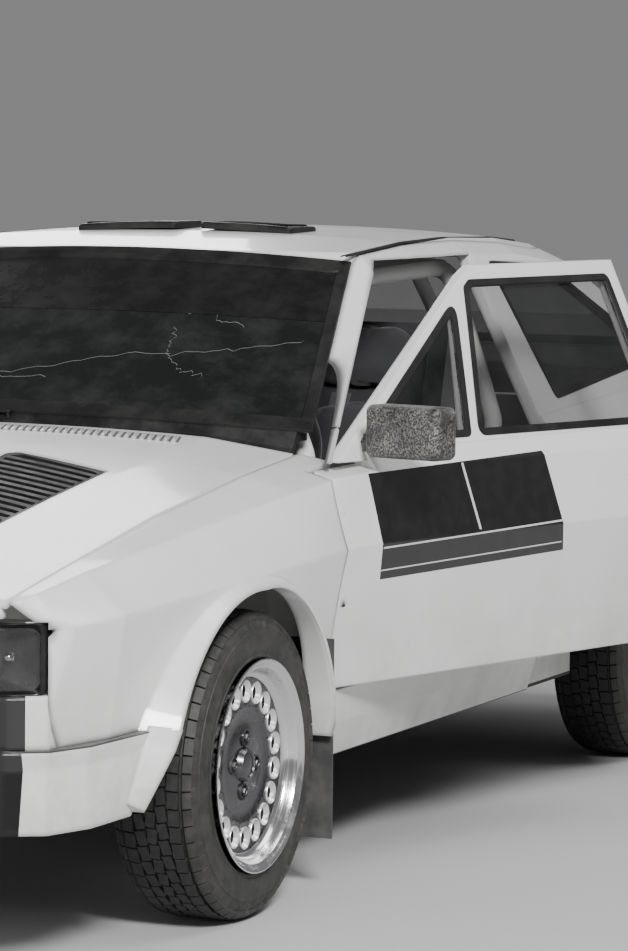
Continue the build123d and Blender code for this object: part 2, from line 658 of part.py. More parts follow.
def make_rear_panel():
    """The tail panel below the boot lid, with pockets for the lamps and a blank plate."""
    room = body_solid(REAR_ROWS, QUARTER_WALL + SEAL, DECK_WALL)
    low_z, high_z = REAR_BUMPER_Z[1] + SEAL, BOOT_LIP_Z - SHUT_GAP
    panel = room & block(TAIL_X, TAIL_X + REAR_PANEL_WALL, -900, 900, low_z, high_z)
    lamp = plate_x(TAIL_LAMP, TAIL_X - 5, TAIL_X + 40)
    panel -= plate_x(PLATE_RECESS, TAIL_X - 5, TAIL_X + 6)
    return panel - lamp - across(lamp)


def make_tail_lamps():
    """The two tail lamps, let into the tail panel."""
    (y0, z0), (y1, _), (_, z1) = TAIL_LAMP[:3]
    lamp = block(TAIL_X - 8, TAIL_X + 34, y0 + SEAL, y1 - SEAL, z0 + SEAL, z1 - SEAL)
    return both_sides(fillet(lamp.edges().filter_by(Axis.X), 8))


def make_rear_bumper():
    """The rear bumper, wrapped round the corners as far as the wheel arches."""
    z0, z1 = REAR_BUMPER_Z
    front_x, front_y = REAR_BUMPER[0]
    inner = [(front_x + 29, front_y - BUMPER_WALL)]
    inner += [(x + BUMPER_WALL, y - BUMPER_WALL) for x, y in REAR_BUMPER[1:]]
    rim = plate_z(mirrored_plan(REAR_BUMPER), z0, z1)
    shell = rim - plate_z(mirrored_plan(inner), z0 - 1, z1 + 1)
    lid = block(TAIL_X - 20, front_x + 10, -830, 830, z1 - 14, z1)
    shell += (rim & lid) - block(TAIL_X + REAR_PANEL_WALL - 60, front_x + 50, -740, 740, z1 - 20, z1 + 1)
    arch = rear_arch(500, 900)
    return shell - arch - across(arch)


def pane(room, depth):
    """Glass set below the glasshouse's skin by depth, cut to the given room."""
    return (cabin_solid(depth, depth) - cabin_solid(depth + GLASS, depth + GLASS)) & room


def make_windscreen():
    """The windscreen, flush with its frame."""
    return pane(extrude(screen_outline(SEAL), amount=950, dir=(1, 0, 0)), 0)


def make_rear_window():
    """The rear window, flush with its frame."""
    return pane(plate_x(backlight_points(SEAL), TAIL_X + 162, HOUSE_HIGH[4][0]), 0)


def make_quarter_windows():
    """The two fixed side windows behind the doors."""
    return both_sides(pane(plate_y(QUARTER_WINDOW, 400, 900, QUARTER_R), 10))


def make_door(front, rear):
    """A door: body side below, window frame above, a notch for each hinge arm and the pin through it."""
    inner = body_solid(FRONT_ROWS, DOOR_WALL, -40) + body_solid(REAR_ROWS, DOOR_WALL, -40)
    space = door_space(0)
    low = ((front + rear) - inner) & space
    frame = (cabin_solid() - cabin_solid(FRAME_WALL, ROOF_WALL)) & space
    door = low + frame
    for points in (WINDOW_FRONT, WINDOW_MAIN):
        door -= plate_y(points, 500, 900, WINDOW_R)
    for z in HINGE_HEIGHTS:
        z0, z1 = z - 4, z + LEAF + 4
        door -= hinge_sector(120, HINGE_TURN - 24, HINGE_TURN + DOOR_TRAVEL + 22, z0, z1)
        door -= post(HINGE_X, HINGE_Y, z0, z1, EYE_R + 8)
        door += post(HINGE_X, HINGE_Y, z0 - 8, z1 + 8, PIN_R)
    return door


def make_hinge_arms():
    """The two arms that reach from the hinge post to one door's pins."""
    arms = []
    for z in HINGE_HEIGHTS:
        bar = Pos(HINGE_X, HINGE_Y, z + LEAF / 2) * Rot(0, 0, HINGE_TURN) * Pos(36, 0, 0) * Box(72, 12, LEAF)
        arm = bar + post(HINGE_X, HINGE_Y, z, z + LEAF, EYE_R)
        arms.append(arm - post(HINGE_X, HINGE_Y, z - 1, z + LEAF + 1, PIN_R + PIN_FIT))
    return arms


def make_door_glass():
    """The door's fixed front pane and its main pane."""
    space = door_space(0)
    rooms = [plate_y(points, 500, 900, WINDOW_R) & space for points in (WINDOW_FRONT, WINDOW_MAIN)]
    return together([pane(room, 12) for room in rooms])


def make_mirror():
    """A door mirror: its housing outside the window's lower corner, on a foot that meets the frame."""
    housing = block(MIRROR_X - 40, MIRROR_X + 36, 818, 1012, 896, 1008)
    housing = fillet(housing.edges(), 16)
    foot = plate_y([(600, 924), (690, 924), (630, 962)], 700, 806)
    foot = foot - cabin_solid(-SEAL, 0)
    arm = block(MIRROR_X - 30, MIRROR_X + 8, 796, 830, 914, 944)
    return housing + foot + arm - cabin_solid(-SEAL, 0)


def swing(shape):
    """The left door's pieces as they stand in the open position."""
    return Pos(HINGE_X, HINGE_Y, 0) * Rot(0, 0, -DOOR_OPEN) * Pos(-HINGE_X, -HINGE_Y, 0) * shape


def ring_profile(points):
    """A closed (y, r) outline turned about the Y axis."""
    return revolve(face_of([(r, y, 0) for y, r in points]), Axis.Y)


def make_tyre():
    """A block-tread tyre's plain body about its own centre."""
    half = TYRE_W / 2
    rise = TYRE_R - RIM_R
    bead, wall, shoulder = (half - 10, RIM_R + 1), (half, RIM_R + 0.45 * rise), (half - 4, TYRE_R - 22)
    left = [bead, wall, shoulder, (half - 18, TYRE_R - 3), (half - 34, TYRE_R)]
    return ring_profile(left + [(-y, r) for y, r in left[::-1]])


def make_rim():
    """A dished alloy wheel about the tyre's centre: rim, face with a ring of round holes, and centre bore."""
    half = RIM_W / 2
    face_y = half - DISH
    outside = [
        (half, RIM_R + 0.7), (half, RIM_R - 9), (face_y + 16, RIM_R - 20), (face_y, HOLE_PCR + HOLE_R + 13),
        (face_y - 3, HOLE_PCR - HOLE_R - 8), (face_y - 3, HUB_BORE_R),
    ]
    inside = [
        (face_y - 22, HUB_BORE_R), (face_y - 22, 84), (face_y - 12, HOLE_PCR - HOLE_R - 6),
        (face_y - 10, HOLE_PCR + HOLE_R + 8), (face_y - 12, RIM_R - 28), (-half, RIM_R - 20),
        (-half, RIM_R + 0.7),
    ]
    rim = ring_profile(outside + inside)
    hole = Pos(HOLE_PCR, face_y, 0) * Rot(90, 0, 0) * Cylinder(HOLE_R, 60)
    for i in range(HOLE_COUNT):
        rim -= Rot(0, 360 * i / HOLE_COUNT, 0) * hole
    return rim


def kingpin_y(z):
    """Where the steering axis stands at one height."""
    (low_y, low_z), (high_y, high_z) = KINGPIN
    return low_y + (high_y - low_y) * (z - low_z) / (high_z - low_z)


def make_knuckle(x, strut_top_z):
    """An upright with its hub spindle, ball stud and damper strut on the steering axis."""
    face_y = WHEEL_Y + RIM_W / 2 - DISH
    back_y, shoulder_y = WHEEL_Y - 102, face_y - 24
    spindle = tube((x, back_y, TYRE_R), (x, face_y, TYRE_R), HUB_BORE_R - HUB_FIT)
    shoulder = tube((x, back_y, TYRE_R), (x, shoulder_y, TYRE_R), 58)
    low_z, high_z = ARM_Z + 14, TYRE_R + 128
    low_y, high_y = kingpin_y(low_z), kingpin_y(high_z)
    outer = [(low_y + 20, low_z), (WHEEL_Y - 40, TYRE_R), (high_y + 20, high_z)]
    inner = [(high_y - 20, high_z), (WHEEL_Y - 114, TYRE_R), (low_y - 20, low_z)]
    upright = plate_x(outer + inner, x - 34, x + 34)
    end_z = strut_top_z - 4.5
    foot_z = high_z - 40
    strut = tube((x, kingpin_y(foot_z), foot_z), (x, kingpin_y(end_z), end_z), STRUT_R)
    ball = Pos(x, kingpin_y(ARM_Z), ARM_Z) * Sphere(BALL_R)
    stud = tube((x, kingpin_y(ARM_Z), ARM_Z), (x, kingpin_y(low_z + 6), low_z + 6), STUD_R)
    return upright + spindle + shoulder + strut + ball + stud


def make_subframe(x, seat_z):
    """A subframe: plate and two crossmembers on four feet under the body, with a lower arm to each wheel."""
    y = kingpin_y(ARM_Z)
    inner_y = 300
    low_z = ARM_Z - ARM_T / 2
    plan = [(x - 26, y + 18), (x - 44, 560), (x - BEAM_HALF, inner_y)]
    plan += [(2 * x - near_x, near_y) for near_x, near_y in plan[::-1]]
    arm = plate_z(plan, low_z, low_z + ARM_T) - Pos(x, y, ARM_Z) * Sphere(BALL_R + HUB_FIT)
    beam = block(x - BEAM_HALF, x + BEAM_HALF, -inner_y, inner_y, low_z, BEAM_TOP_Z)
    foot_y = INNER_WING_Y - 70
    for edge in (x - BEAM_HALF, x + BEAM_HALF - 40):
        arm += block(edge, edge + 40, 200, foot_y + 50, low_z, BEAM_TOP_Z)
        arm += block(edge, edge + 40, foot_y + 10, foot_y + 50, ARM_Z, seat_z - SEAL)
    return beam + arm + across(arm)


def make_engine():
    """The engine as one plain block at its real place and size."""
    return block(ENGINE_X[0], ENGINE_X[1], -250, 150, BEAM_TOP_Z + SEAL, 740)


def make_driveline():
    """Gearbox, propeller shaft, rear axle housing and the four half shafts."""
    box = block(700, ENGINE_X[0] - SEAL, -105, 105, BEAM_TOP_Z + SEAL, 384)
    axle = Pos(-AXLE_X, 0, TYRE_R) * Sphere(70)
    axle += block(-AXLE_X - 30, -AXLE_X + 90, -130, 130, BEAM_TOP_Z + SEAL, TYRE_R + 42)
    shaft = tube((700, 0, TYRE_R - 2), (-AXLE_X, 0, TYRE_R - 2), 32)
    line = box + axle + shaft
    reach = WHEEL_Y - 138
    for x in (AXLE_X, -AXLE_X):
        line += tube((x, -reach, TYRE_R), (x, reach, TYRE_R), SHAFT_R)
    return line


def make_floor():
    """The floor with its tunnel, sills, raised tail and rear wheel houses."""
    under, top = FLOOR_Z - 12, TUNNEL_Z + 12
    tunnel = [(TUNNEL_FOOT, FLOOR_Z), (TUNNEL_TOP, top), (0, top)]
    inside = [(0, TUNNEL_Z), (TUNNEL_TOP - 8, TUNNEL_Z), (TUNNEL_FOOT - 10, under)]
    sills = [
        (690, under), (764, under + 6), (786, SILL_Z), (798, SILL_TOP_Z - 20), (724, SILL_TOP_Z - 20),
        (724, SILL_TOP_Z), (676, SILL_TOP_Z), (676, FLOOR_Z),
    ]
    upstands = [(740, under), (740, SILL_TOP_Z), (728, SILL_TOP_Z), (728, FLOOR_Z)]
    pan = plate_x(mirrored(inside + sills + tunnel), DOOR_REAR_X - SHUT_GAP, WALL_X - SEAL)
    toe_plan = [(702 + SEAL, under)] + sills[1:-2] + [(702 + SEAL, SILL_TOP_Z)]
    toe = plate_x(toe_plan, WALL_X - SEAL - 1, DOOR_FRONT_X + SHUT_GAP - SEAL)
    pan += toe + across(toe)
    pan += plate_x(mirrored(inside + upstands + tunnel), HEEL_X, DOOR_REAR_X - SHUT_GAP)
    heel = block(HEEL_X - 12, HEEL_X, -660, 660, under, TAIL_FLOOR_Z)
    heel -= block(HEEL_X - 20, HEEL_X + 5, -TUNNEL_TOP, TUNNEL_TOP, 0, TUNNEL_Z)
    tail = block(TAIL_X + 60, HEEL_X - 6, -500, 500, TAIL_FLOOR_Z - 12, TAIL_FLOOR_Z)
    house = Pos(-AXLE_X, 650, REAR_ARCH_Z) * Rot(90, 0, 0) * Cylinder(HOUSE_R, 320)
    hollow = Pos(-AXLE_X, 670, REAR_ARCH_Z) * Rot(90, 0, 0) * Cylinder(HOUSE_R - 12, 336)
    house -= hollow + block(-AXLE_X - HOUSE_R - 1, -AXLE_X + HOUSE_R + 1, 400, 900, -200, TAIL_FLOOR_Z - 12)
    house &= body_solid(REAR_ROWS, QUARTER_WALL + SEAL, DECK_WALL)
    pad_x, pad_y = JACK_PAD
    pad = block(JACK_X, JACK_X + pad_x, JACK_Y, JACK_Y + pad_y, under - JACK_DROP, under)
    return pan + heel + tail + house + across(house) + pad + across(pad)


def bumper_solid(inset):
    """The front bumper's solid outline, drawn in by inset."""
    faces = []
    for z, half in BUMPER_ROWS:
        near = [(half[0][0], half[0][1] - inset)] + [(x - inset, y - inset) for x, y in half[1:]]
        faces.append(face_of([(x, y, z) for x, y in mirrored_plan(near)]))
    return loft(faces, ruled=True)


def make_front_bumper():
    """The front bumper: a deep moulding round the nose with a wide air slot."""
    shell = bumper_solid(0) - Pos(0, 0, -14) * bumper_solid(BUMPER_WALL)
    shell -= block(BUMPER_X - 40, FRONT_X - 106, -740, 740, 200, 500)
    arch = front_arch(500, 900)
    shell -= arch + across(arch)
    slot = block(NOSE_PLAN[0][0], NOSE_CLEAR_X, -INTAKE_HALF, INTAKE_HALF, *INTAKE_Z)
    return shell - slot


def make_intake():
    """The dark slatted panel in the bumper's air slot."""
    z0, z1 = INTAKE_Z
    strip = bumper_solid(10) - bumper_solid(22)
    half = INTAKE_HALF - SEAL
    front_x = NOSE_PLAN[0][0] + 10
    panel = strip & block(front_x, NOSE_CLEAR_X, -half, half, z0 + SEAL, z1 - SEAL)
    for i in range(3):
        z = z0 + 14 + i * 30
        panel -= block(front_x, NOSE_CLEAR_X, -half + 30, half - 30, z, z + 18)
    return panel


def make_nose():
    """The black nose panel round the lamps and grille."""
    inner = nose_space(NOSE_DEPTH)
    z0, z1 = BUMPER_TOP_Z + SEAL, LAMP_Z[1] + 1.7
    half = NOSE_PLAN[1][1] - SEAL
    back_x = NOSE_PLAN[0][0]
    panel = (nose_space(4) - inner) & block(back_x + SEAL, NOSE_CLEAR_X, -half, half, z0, z1)
    lamp = block(back_x - 90, NOSE_CLEAR_X, LAMP_Y[0], LAMP_Y[1] + 20, *LAMP_Z)
    panel -= block(back_x - 90, NOSE_CLEAR_X, -GRILLE_HALF, GRILLE_HALF, *LAMP_Z)
    return panel - lamp - across(lamp)


def make_headlamps():
    """The two headlamp units, one on each side of the grille."""
    (z0, z1), (y0, y1) = LAMP_Z, LAMP_Y
    lamp = nose_space(2) - nose_space(NOSE_DEPTH)
    lamp &= block(NOSE_PLAN[0][0] + SEAL, NOSE_CLEAR_X, y0 + SEAL, y1, z0 + SEAL, z1 - SEAL)
    return both_sides(lamp)


def make_grille():
    """The grille: a frame with level slats."""
    z0, z1 = LAMP_Z
    half = GRILLE_HALF - SEAL
    room = nose_space(6) - nose_space(40)
    back_x = NOSE_PLAN[0][0]
    grille = room & block(back_x + 10, NOSE_CLEAR_X, -half, half, z0 + SEAL, z1 - SEAL)
    pitch = (z1 - z0 - 16) / GRILLE_SLATS
    for i in range(GRILLE_SLATS):
        z = z0 + 12 + i * pitch
        grille -= block(back_x, NOSE_CLEAR_X, -half + 14, half - 14, z, z + pitch - 8)
    return grille


def make_flaps(wing):
    """Four mud flaps: the front ones behind the front wheels, the rear ones behind the rear wheels."""
    front_x, back_x = AXLE_X - 357, -AXLE_X - 372
    front_flap = block(front_x, front_x + FLAP_WALL, WHEEL_Y, FLARE_Y - 18, FLAP_FOOT_Z, 530) - wing
    rear_flap = block(back_x - FLAP_WALL, back_x, WHEEL_Y - 82, FLARE_Y - 24, FLAP_FOOT_Z, SILL_Z - SEAL)
    return front_flap, rear_flap


def make_dashboard():
    """The dashboard across the cabin, with the steering column's shroud."""
    back_x = WALL_X - SEAL
    profile = [(back_x, 660), (back_x, 900), (600, 922), (452, 900), (430, 850), (446, 700), (560, 660)]
    shroud = Pos(0, 0, -STEERING_STEM - SEAL - 40) * Cylinder(28, 80)
    return plate_y(profile, -DASH_HALF, DASH_HALF) + steering_plane() * shroud


def steering_plane():
    """The plane of the steering wheel's rim, facing the driver."""
    lean = radians(STEERING_LEAN)
    return Plane(origin=STEERING_CENTRE, z_dir=(-cos(lean), 0, sin(lean)))


def make_steering_wheel():
    """Steering wheel on its column: rim, three spokes and boss."""
    wheel = Torus(STEERING_R, 14)
    for turn in (0, 180, 270):
        wheel += Rot(0, 0, turn) * Pos(STEERING_R / 2 + 8, 0, 0) * Box(STEERING_R - 24, 30, 5)
    column = Pos(0, 0, -STEERING_STEM / 2) * Cylinder(16, STEERING_STEM)
    return steering_plane() * (wheel + Cylinder(36, 40) + column)


def make_seat():
    """A bucket seat: shell with raised sides, open at the front, on two runners."""
    x, z = SEAT_X, FLOOR_Z
    outer = [
        (x + 300, z + 190), (x + 300, z + 60), (x - 200, z + 60), (x - 330, z + 860), (x - 200, z + 880),
        (x - 40, z + 330),
    ]
    inner = [
        (x + 301, z + 250), (x + 301, z + 130), (x - 120, z + 110), (x - 262, z + 900), (x + 200, z + 900),
    ]
    shell = plate_y(outer, SEAT_Y - 233, SEAT_Y + 233) - plate_y(inner, SEAT_Y - 184, SEAT_Y + 184)
    for y in (SEAT_Y - 200, SEAT_Y + 176):
        shell += block(x - 180, x + 260, y, y + 24, z + SEAL, z + 62)
    return shell


def bent_tube(points, radius, bend):
    """A round tube along straight runs joined by arcs."""
    path = FilletPolyline(*points, radius=bend)
    section = Plane(origin=path @ 0, z_dir=path % 0) * Circle(radius)
    return sweep(section, path=path)


def make_cage():
    """The roll cage: main hoop, front legs, cross bars and rear stays."""
    base = FLOOR_Z + SEAL
    side_y, top_z = CAGE_Y, CAGE_TOP_Z
    left_hoop = [(side_y, base), (side_y, 900), (side_y - 120, top_z)]
    hoop = [(CAGE_X, y, z) for y, z in mirrored(left_hoop)]
    foot_x, foot_y = 600, side_y + 10
    leg = [(CAGE_X, 500, top_z), (140, 496, 1240), (560, 600, 960)]
    leg += [(foot_x, foot_y, 880), (foot_x, foot_y, base)]
    stay_x = -AXLE_X + 22
    stay = [(CAGE_X, 430, top_z), (stay_x, 430, 720), (stay_x, 430, TAIL_FLOOR_Z + SEAL)]
    left = bent_tube(leg, LEG_R, 60) + bent_tube(stay, BAR_R, 60)
    left += tube((CAGE_X, side_y, 420), (foot_x, foot_y, 580), BAR_R)
    left += tube((CAGE_X, side_y, 640), (foot_x, foot_y, 420), CROSS_R)
    header = tube((130, -496, 1240), (130, 496, 1240), BAR_R)
    harness_bar = tube((CAGE_X, -side_y, 780), (CAGE_X, side_y, 780), BAR_R)
    return bent_tube(hoop, HOOP_R, 60) + header + harness_bar + left + across(left)


def make_roof_vents():
    """Two low air scoops on the roof."""
    vent = block(-330, -150, 15, 325, 1325, 1374)
    vent = fillet(vent.edges().group_by(Axis.Z)[-1], 10)
    return both_sides(vent - Pos(0, 0, SEAL) * cabin_solid())


def make_wiper(scuttle):
    """The one wiper that is left: blade and arm lying along the windscreen, and the spindle they turn on."""
    blade = plate_x([(-110, 990), (-110, 1001), (-580, 985), (-580, 974)], 500, 900)
    blade &= cabin_solid(-9, -9) - cabin_solid(-SEAL, 0)
    arm = plate_x([(14, 966), (34, 966), (-330, 997), (-330, 987)], 500, 900)
    arm &= cabin_solid(-15, -15) - cabin_solid(-8, 0)
    hub = post(WIPER_X, 24, 940, 970, 5) - Pos(0, 0, SEAL) * scuttle
    return blade + arm + hub


def make_exhaust():
    """The exhaust: a pipe under the floor and over the rear beam to a silencer and tailpipe."""
    under_z, over_z = FLOOR_Z - 12 - SEAL - PIPE_R, BEAM_TOP_Z + 30
    y, tail_y = PIPE_Y, PIPE_Y - 60
    beam_x, can_x = AXLE_X - BEAM_HALF - 22, (TAIL_X + 182, -AXLE_X - 378)
    points = [
        (ENGINE_X[0] - SEAL, y, over_z), (beam_x, y, over_z), (beam_x - 130, y, under_z),
        (HEEL_X - 20, y, under_z), (HEEL_X - 150, y, over_z), (-AXLE_X - 238, y - 40, over_z),
        (can_x[1] - 10, tail_y, over_z - 18),
    ]
    can = block(*can_x, y - 150, y + 30, 205, 295)
    can = fillet(can.edges().filter_by(Axis.X), 30)
    tail = tube((can_x[0] + 10, tail_y, TAIL_PIPE_Z), (TAIL_X - 18, tail_y, TAIL_PIPE_Z), PIPE_R)
    tail -= tube((can_x[0] - 20, tail_y, TAIL_PIPE_Z), (TAIL_X - 19, tail_y, TAIL_PIPE_Z), PIPE_R - PIPE_WALL)
    hanger_x = TAIL_X + 362
    hanger = block(hanger_x, hanger_x + 10, tail_y - 10, tail_y + 10, 290, TAIL_FLOOR_Z - 12 - SEAL)
    return bent_tube(points, PIPE_R, 70) + can + tail + hanger


def build_nodes():
    """Every node by name."""
    front = body_solid(FRONT_ROWS)
    rear = body_solid(REAR_ROWS)
    shell = cabin_solid() - cabin_solid(FRAME_WALL, ROOF_WALL)
    hull = tail_hull(rear)
    wing = make_wing(front)
    pillar = make_pillar(shell, front)
    quarter = make_quarter(hull)
    bulkhead = make_bulkhead()
    for arm in make_hinge_arms():
        bulkhead = bulkhead + arm + across(arm)
    door, glass, mirror_piece = make_door(front, rear), make_door_glass(), make_mirror()
    knuckle = make_knuckle(AXLE_X, STRUT_TOP_Z)
    rear_knuckle = make_knuckle(-AXLE_X, REAR_ARCH_Z + HOUSE_R - 14)
    front_flap, rear_flap = make_flaps(wing)
    seat = make_seat()
    scuttle = make_scuttle()
    nodes = {
        "floor_pan": make_floor(),
        "bulkhead": bulkhead,
        "front_wings": both_sides(wing),
        "windscreen_pillars": both_sides(pillar),
        "roof_panel": make_roof(shell),
        "rear_quarters": both_sides(quarter),
        "rear_cowl": make_cowl(hull),
        "rear_panel": make_rear_panel(),
        "tail_lamps": make_tail_lamps(),
        "rear_bumper": make_rear_bumper(),
        "windscreen": make_windscreen(),
        "rear_window": make_rear_window(),
        "quarter_windows": make_quarter_windows(),
        "scuttle": scuttle,
        "front_bumper": make_front_bumper(),
        "bumper_intake": make_intake(),
        "nose_panel": make_nose(),
        "headlamps": make_headlamps(),
        "grille": make_grille(),
        "mud_flaps": together([front_flap, across(front_flap), rear_flap, across(rear_flap)]),
        "dashboard": make_dashboard(),
        "seats": both_sides(seat),
        "roll_cage": make_cage(),
        "engine_block": make_engine(),
        "driveline": make_driveline(),
        "front_subframe": make_subframe(AXLE_X, RAIL_Z),
        "rear_subframe": make_subframe(-AXLE_X, TAIL_FLOOR_Z - 12),
        "rear_knuckles": both_sides(rear_knuckle),
        "exhaust": make_exhaust(),
        "roof_vents": make_roof_vents(),
        "wiper": make_wiper(scuttle),
        "left_door": swing(door),
        "left_door_glass": swing(glass),
        "left_mirror": swing(mirror_piece),
        "right_door": across(door),
        "right_door_glass": across(glass),
        "right_mirror": across(mirror_piece),
        "bonnet": make_bonnet(front),
        "bonnet_vents": make_vents(),
        "boot_lid": make_boot_lid(hull),
        "boot_spoiler": make_spoiler(),
        "left_knuckle": knuckle,
        "right_knuckle": across(knuckle),
        "steering_wheel": make_steering_wheel(),
    }
    tyre, rim = make_tyre(), make_rim()
    for end, x in (("front", AXLE_X), ("rear", -AXLE_X)):
        for piece, shape in (("tyre", tyre), ("rim", rim)):
            placed = Pos(x, WHEEL_Y, TYRE_R) * shape
            nodes[f"{end}_left_{piece}"] = placed
            nodes[f"{end}_right_{piece}"] = across(placed)
    return nodes


def main():
    """Write each node's STEP file."""
    os.makedirs("parts", exist_ok=True)
    for name, shape in build_nodes().items():
        export_step(shape, f"parts/{name}.step")


if __name__ == "__main__":
    main()
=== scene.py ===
import json
import math

import bmesh
import bpy
import numpy as np
from mathutils import Matrix, Vector


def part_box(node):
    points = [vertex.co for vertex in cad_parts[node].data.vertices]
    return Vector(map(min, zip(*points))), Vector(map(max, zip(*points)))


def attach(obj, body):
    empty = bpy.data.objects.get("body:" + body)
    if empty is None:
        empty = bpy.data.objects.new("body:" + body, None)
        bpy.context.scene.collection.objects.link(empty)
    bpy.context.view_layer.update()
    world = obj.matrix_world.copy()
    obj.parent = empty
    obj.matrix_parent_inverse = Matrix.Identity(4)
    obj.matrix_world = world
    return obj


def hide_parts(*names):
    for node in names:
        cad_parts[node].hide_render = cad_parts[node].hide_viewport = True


bl_info = {
    "name": "Gravel Rally Car",
    "version": (1, 0, 0),
    "blender": (4, 5, 0),
    "location": "View3D > Sidebar > Rally Car",
    "description": "Paint, gravel tyres, dished wheels, lamps, seals and cabin of a two-door rally car",
    "category": "Add Mesh",
}

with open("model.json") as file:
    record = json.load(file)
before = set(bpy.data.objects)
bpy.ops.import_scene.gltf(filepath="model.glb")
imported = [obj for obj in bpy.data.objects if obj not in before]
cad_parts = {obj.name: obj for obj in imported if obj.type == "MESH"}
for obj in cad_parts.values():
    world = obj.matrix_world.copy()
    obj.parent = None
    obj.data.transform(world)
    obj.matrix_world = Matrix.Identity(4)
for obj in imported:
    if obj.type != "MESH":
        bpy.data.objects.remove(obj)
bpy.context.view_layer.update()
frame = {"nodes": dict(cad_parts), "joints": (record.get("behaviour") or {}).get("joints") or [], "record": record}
NODES = frame["nodes"]
JOINTS = {joint["name"]: joint for joint in frame["joints"]}

# The image's size in pixels, and the camera that took the photograph
IMAGE_SIZE = (628, 951)
FOCAL_PIXELS = 4011.5
SENSOR_WIDTH = 36.0
CAMERA_PLACE = (8.5159, 4.0580, 1.5161)
CAMERA_YAW = -2.7369
CAMERA_PITCH = -0.0782
CAMERA_ROLL = 0.0104

# Wheels: body and centre, from the axle joints, and the rim's radius
WHEELS = [(joint["child"], joint["pos_m"]) for name, joint in JOINTS.items() if name.endswith("_axle")]
TYRE_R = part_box("front_left_tyre")[1][2] / 2
RIM_R = 0.207
# The wheel's face: its distance outwards from the wheel's middle, its inner and outer radius, the radius of
# the circle that the holes stand on, and how many points ring each hole
FACE_Y = 0.065
FACE_R = (0.116, 0.1765)
HOLE_CIRCLE_R = 0.148
HOLE_RAYS = 40

# The open left door: its hinge and how far it has swung
DOOR_HINGE = JOINTS["left_door_hinge"]["pos_m"]
DOOR_SWING = math.radians(JOINTS["left_door_hinge"]["range_deg"][0])

# Glasshouse outline at two heights: x and y of each corner from the windscreen back to the tail, the
# windscreen's middle x at both heights, and how far the rear window bows out
HOUSE_LOW_Z, HOUSE_HIGH_Z = 0.885, 1.296
HOUSE_LOW = np.array([(0.749, 0.711), (0.815, 0.794), (-0.480, 0.800), (-1.500, 0.796), (-2.010, 0.775)])
HOUSE_HIGH = np.array([(0.126, 0.553), (0.068, 0.588), (-0.480, 0.602), (-1.000, 0.598), (-1.131, 0.585)])
SCREEN_MIDDLE = (0.912, 0.240)
TAIL_BOW = 0.036

# The windscreen's foot and top: half width, height at the corners and height in the middle. Then the rear
# window's corners (y, z), and the side windows' corners (x, z)
SCREEN_FOOT = (0.691, 0.938, 0.965)
SCREEN_TOP = (0.556, 1.288, 1.314)
BACKLIGHT = [(0.640, 1.032), (0.505, 1.300), (-0.505, 1.300), (-0.640, 1.032)]
WINDOW_FRONT = [(0.686, 0.921), (0.176, 1.208), (0.304, 0.921)]
WINDOW_MAIN = [(0.268, 0.921), (0.118, 1.236), (0.092, 1.250), (-0.438, 1.256), (-0.438, 0.921)]
QUARTER_WINDOW = [(-0.655, 0.950), (-0.588, 1.276), (-0.990, 1.262), (-1.400, 1.088), (-1.478, 1.012)]

# The nose: half width of its black middle, height of the bumper's joint, plan of its front (x, half width)
# from the wing to the middle, and the left lamp's sides and heights
NOSE_BLACK_Y = 0.727
BUMPER_JOINT_Z = 0.4365
NOSE_PLAN = np.array([(1.990, 0.790), (2.040, 0.762), (2.086, 0.700), (2.112, 0.420), (2.112, 0.0)])
LAMP_Y = (0.404, 0.757)
LAMP_Z = (0.540, 0.674)

# Roof vents: side to side on each side of the middle, and front to back
VENTS_Y = ((0.040, 0.276), (-0.286, -0.024))
VENTS_X = (-0.322, -0.158)

# The left seat's middle, front of its cushion and top of its floor runners
SEAT_Y = 0.375
SEAT_X = -0.150
SEAT_FLOOR_Z = 0.262

# Bonnet's skin along its length: x, ridge y, ridge z, middle z
BONNET_ROWS = [
    (0.690, 0.484, 0.935, 0.962),
    (1.000, 0.479, 0.898, 0.920),
    (1.432, 0.470, 0.840, 0.858),
    (1.850, 0.446, 0.778, 0.793),
    (2.028, 0.434, 0.748, 0.762),
]

# How every colour of the settings is held
COLOUR = {"subtype": "COLOR", "size": 3, "min": 0, "max": 1}


class PaintSettings(bpy.types.PropertyGroup):
    """Colours of the painted, rubber and plastic pieces."""

    body: bpy.props.FloatVectorProperty(
        name="Body", description="Body paint", default=(0.78, 0.78, 0.77), **COLOUR)
    panel: bpy.props.FloatVectorProperty(
        name="Door Panel", description="Blank race panel on the doors", default=(0.005, 0.005, 0.0055),
        **COLOUR)
    dust: bpy.props.FloatVectorProperty(
        name="Dust", description="Road dust", default=(0.30, 0.285, 0.265), **COLOUR)
    rubber: bpy.props.FloatVectorProperty(
        name="Rubber", description="Tyre rubber", default=(0.013, 0.0127, 0.0123), **COLOUR)
    plastic: bpy.props.FloatVectorProperty(
        name="Trim", description="Black trim", default=(0.008, 0.008, 0.0085), **COLOUR)
    alloy: bpy.props.FloatVectorProperty(
        name="Alloy", description="Polished wheel metal", default=(0.72, 0.72, 0.73), **COLOUR)
    fabric: bpy.props.FloatVectorProperty(
        name="Seat Cloth", description="Seat cloth", default=(0.022, 0.022, 0.025), **COLOUR)


class TyreSettings(bpy.types.PropertyGroup):
    """The gravel tyres' tread."""

    pitches: bpy.props.IntProperty(
        name="Pitches", description="Tread blocks round the tyre", default=54, min=20, max=90)
    depth: bpy.props.FloatProperty(
        name="Groove Depth", description="Depth of the grooves", default=0.007, unit="LENGTH", min=0.002,
        max=0.02)
    groove: bpy.props.FloatProperty(
        name="Groove", description="Width of the grooves", default=0.0035, unit="LENGTH", min=0.001, max=0.015)


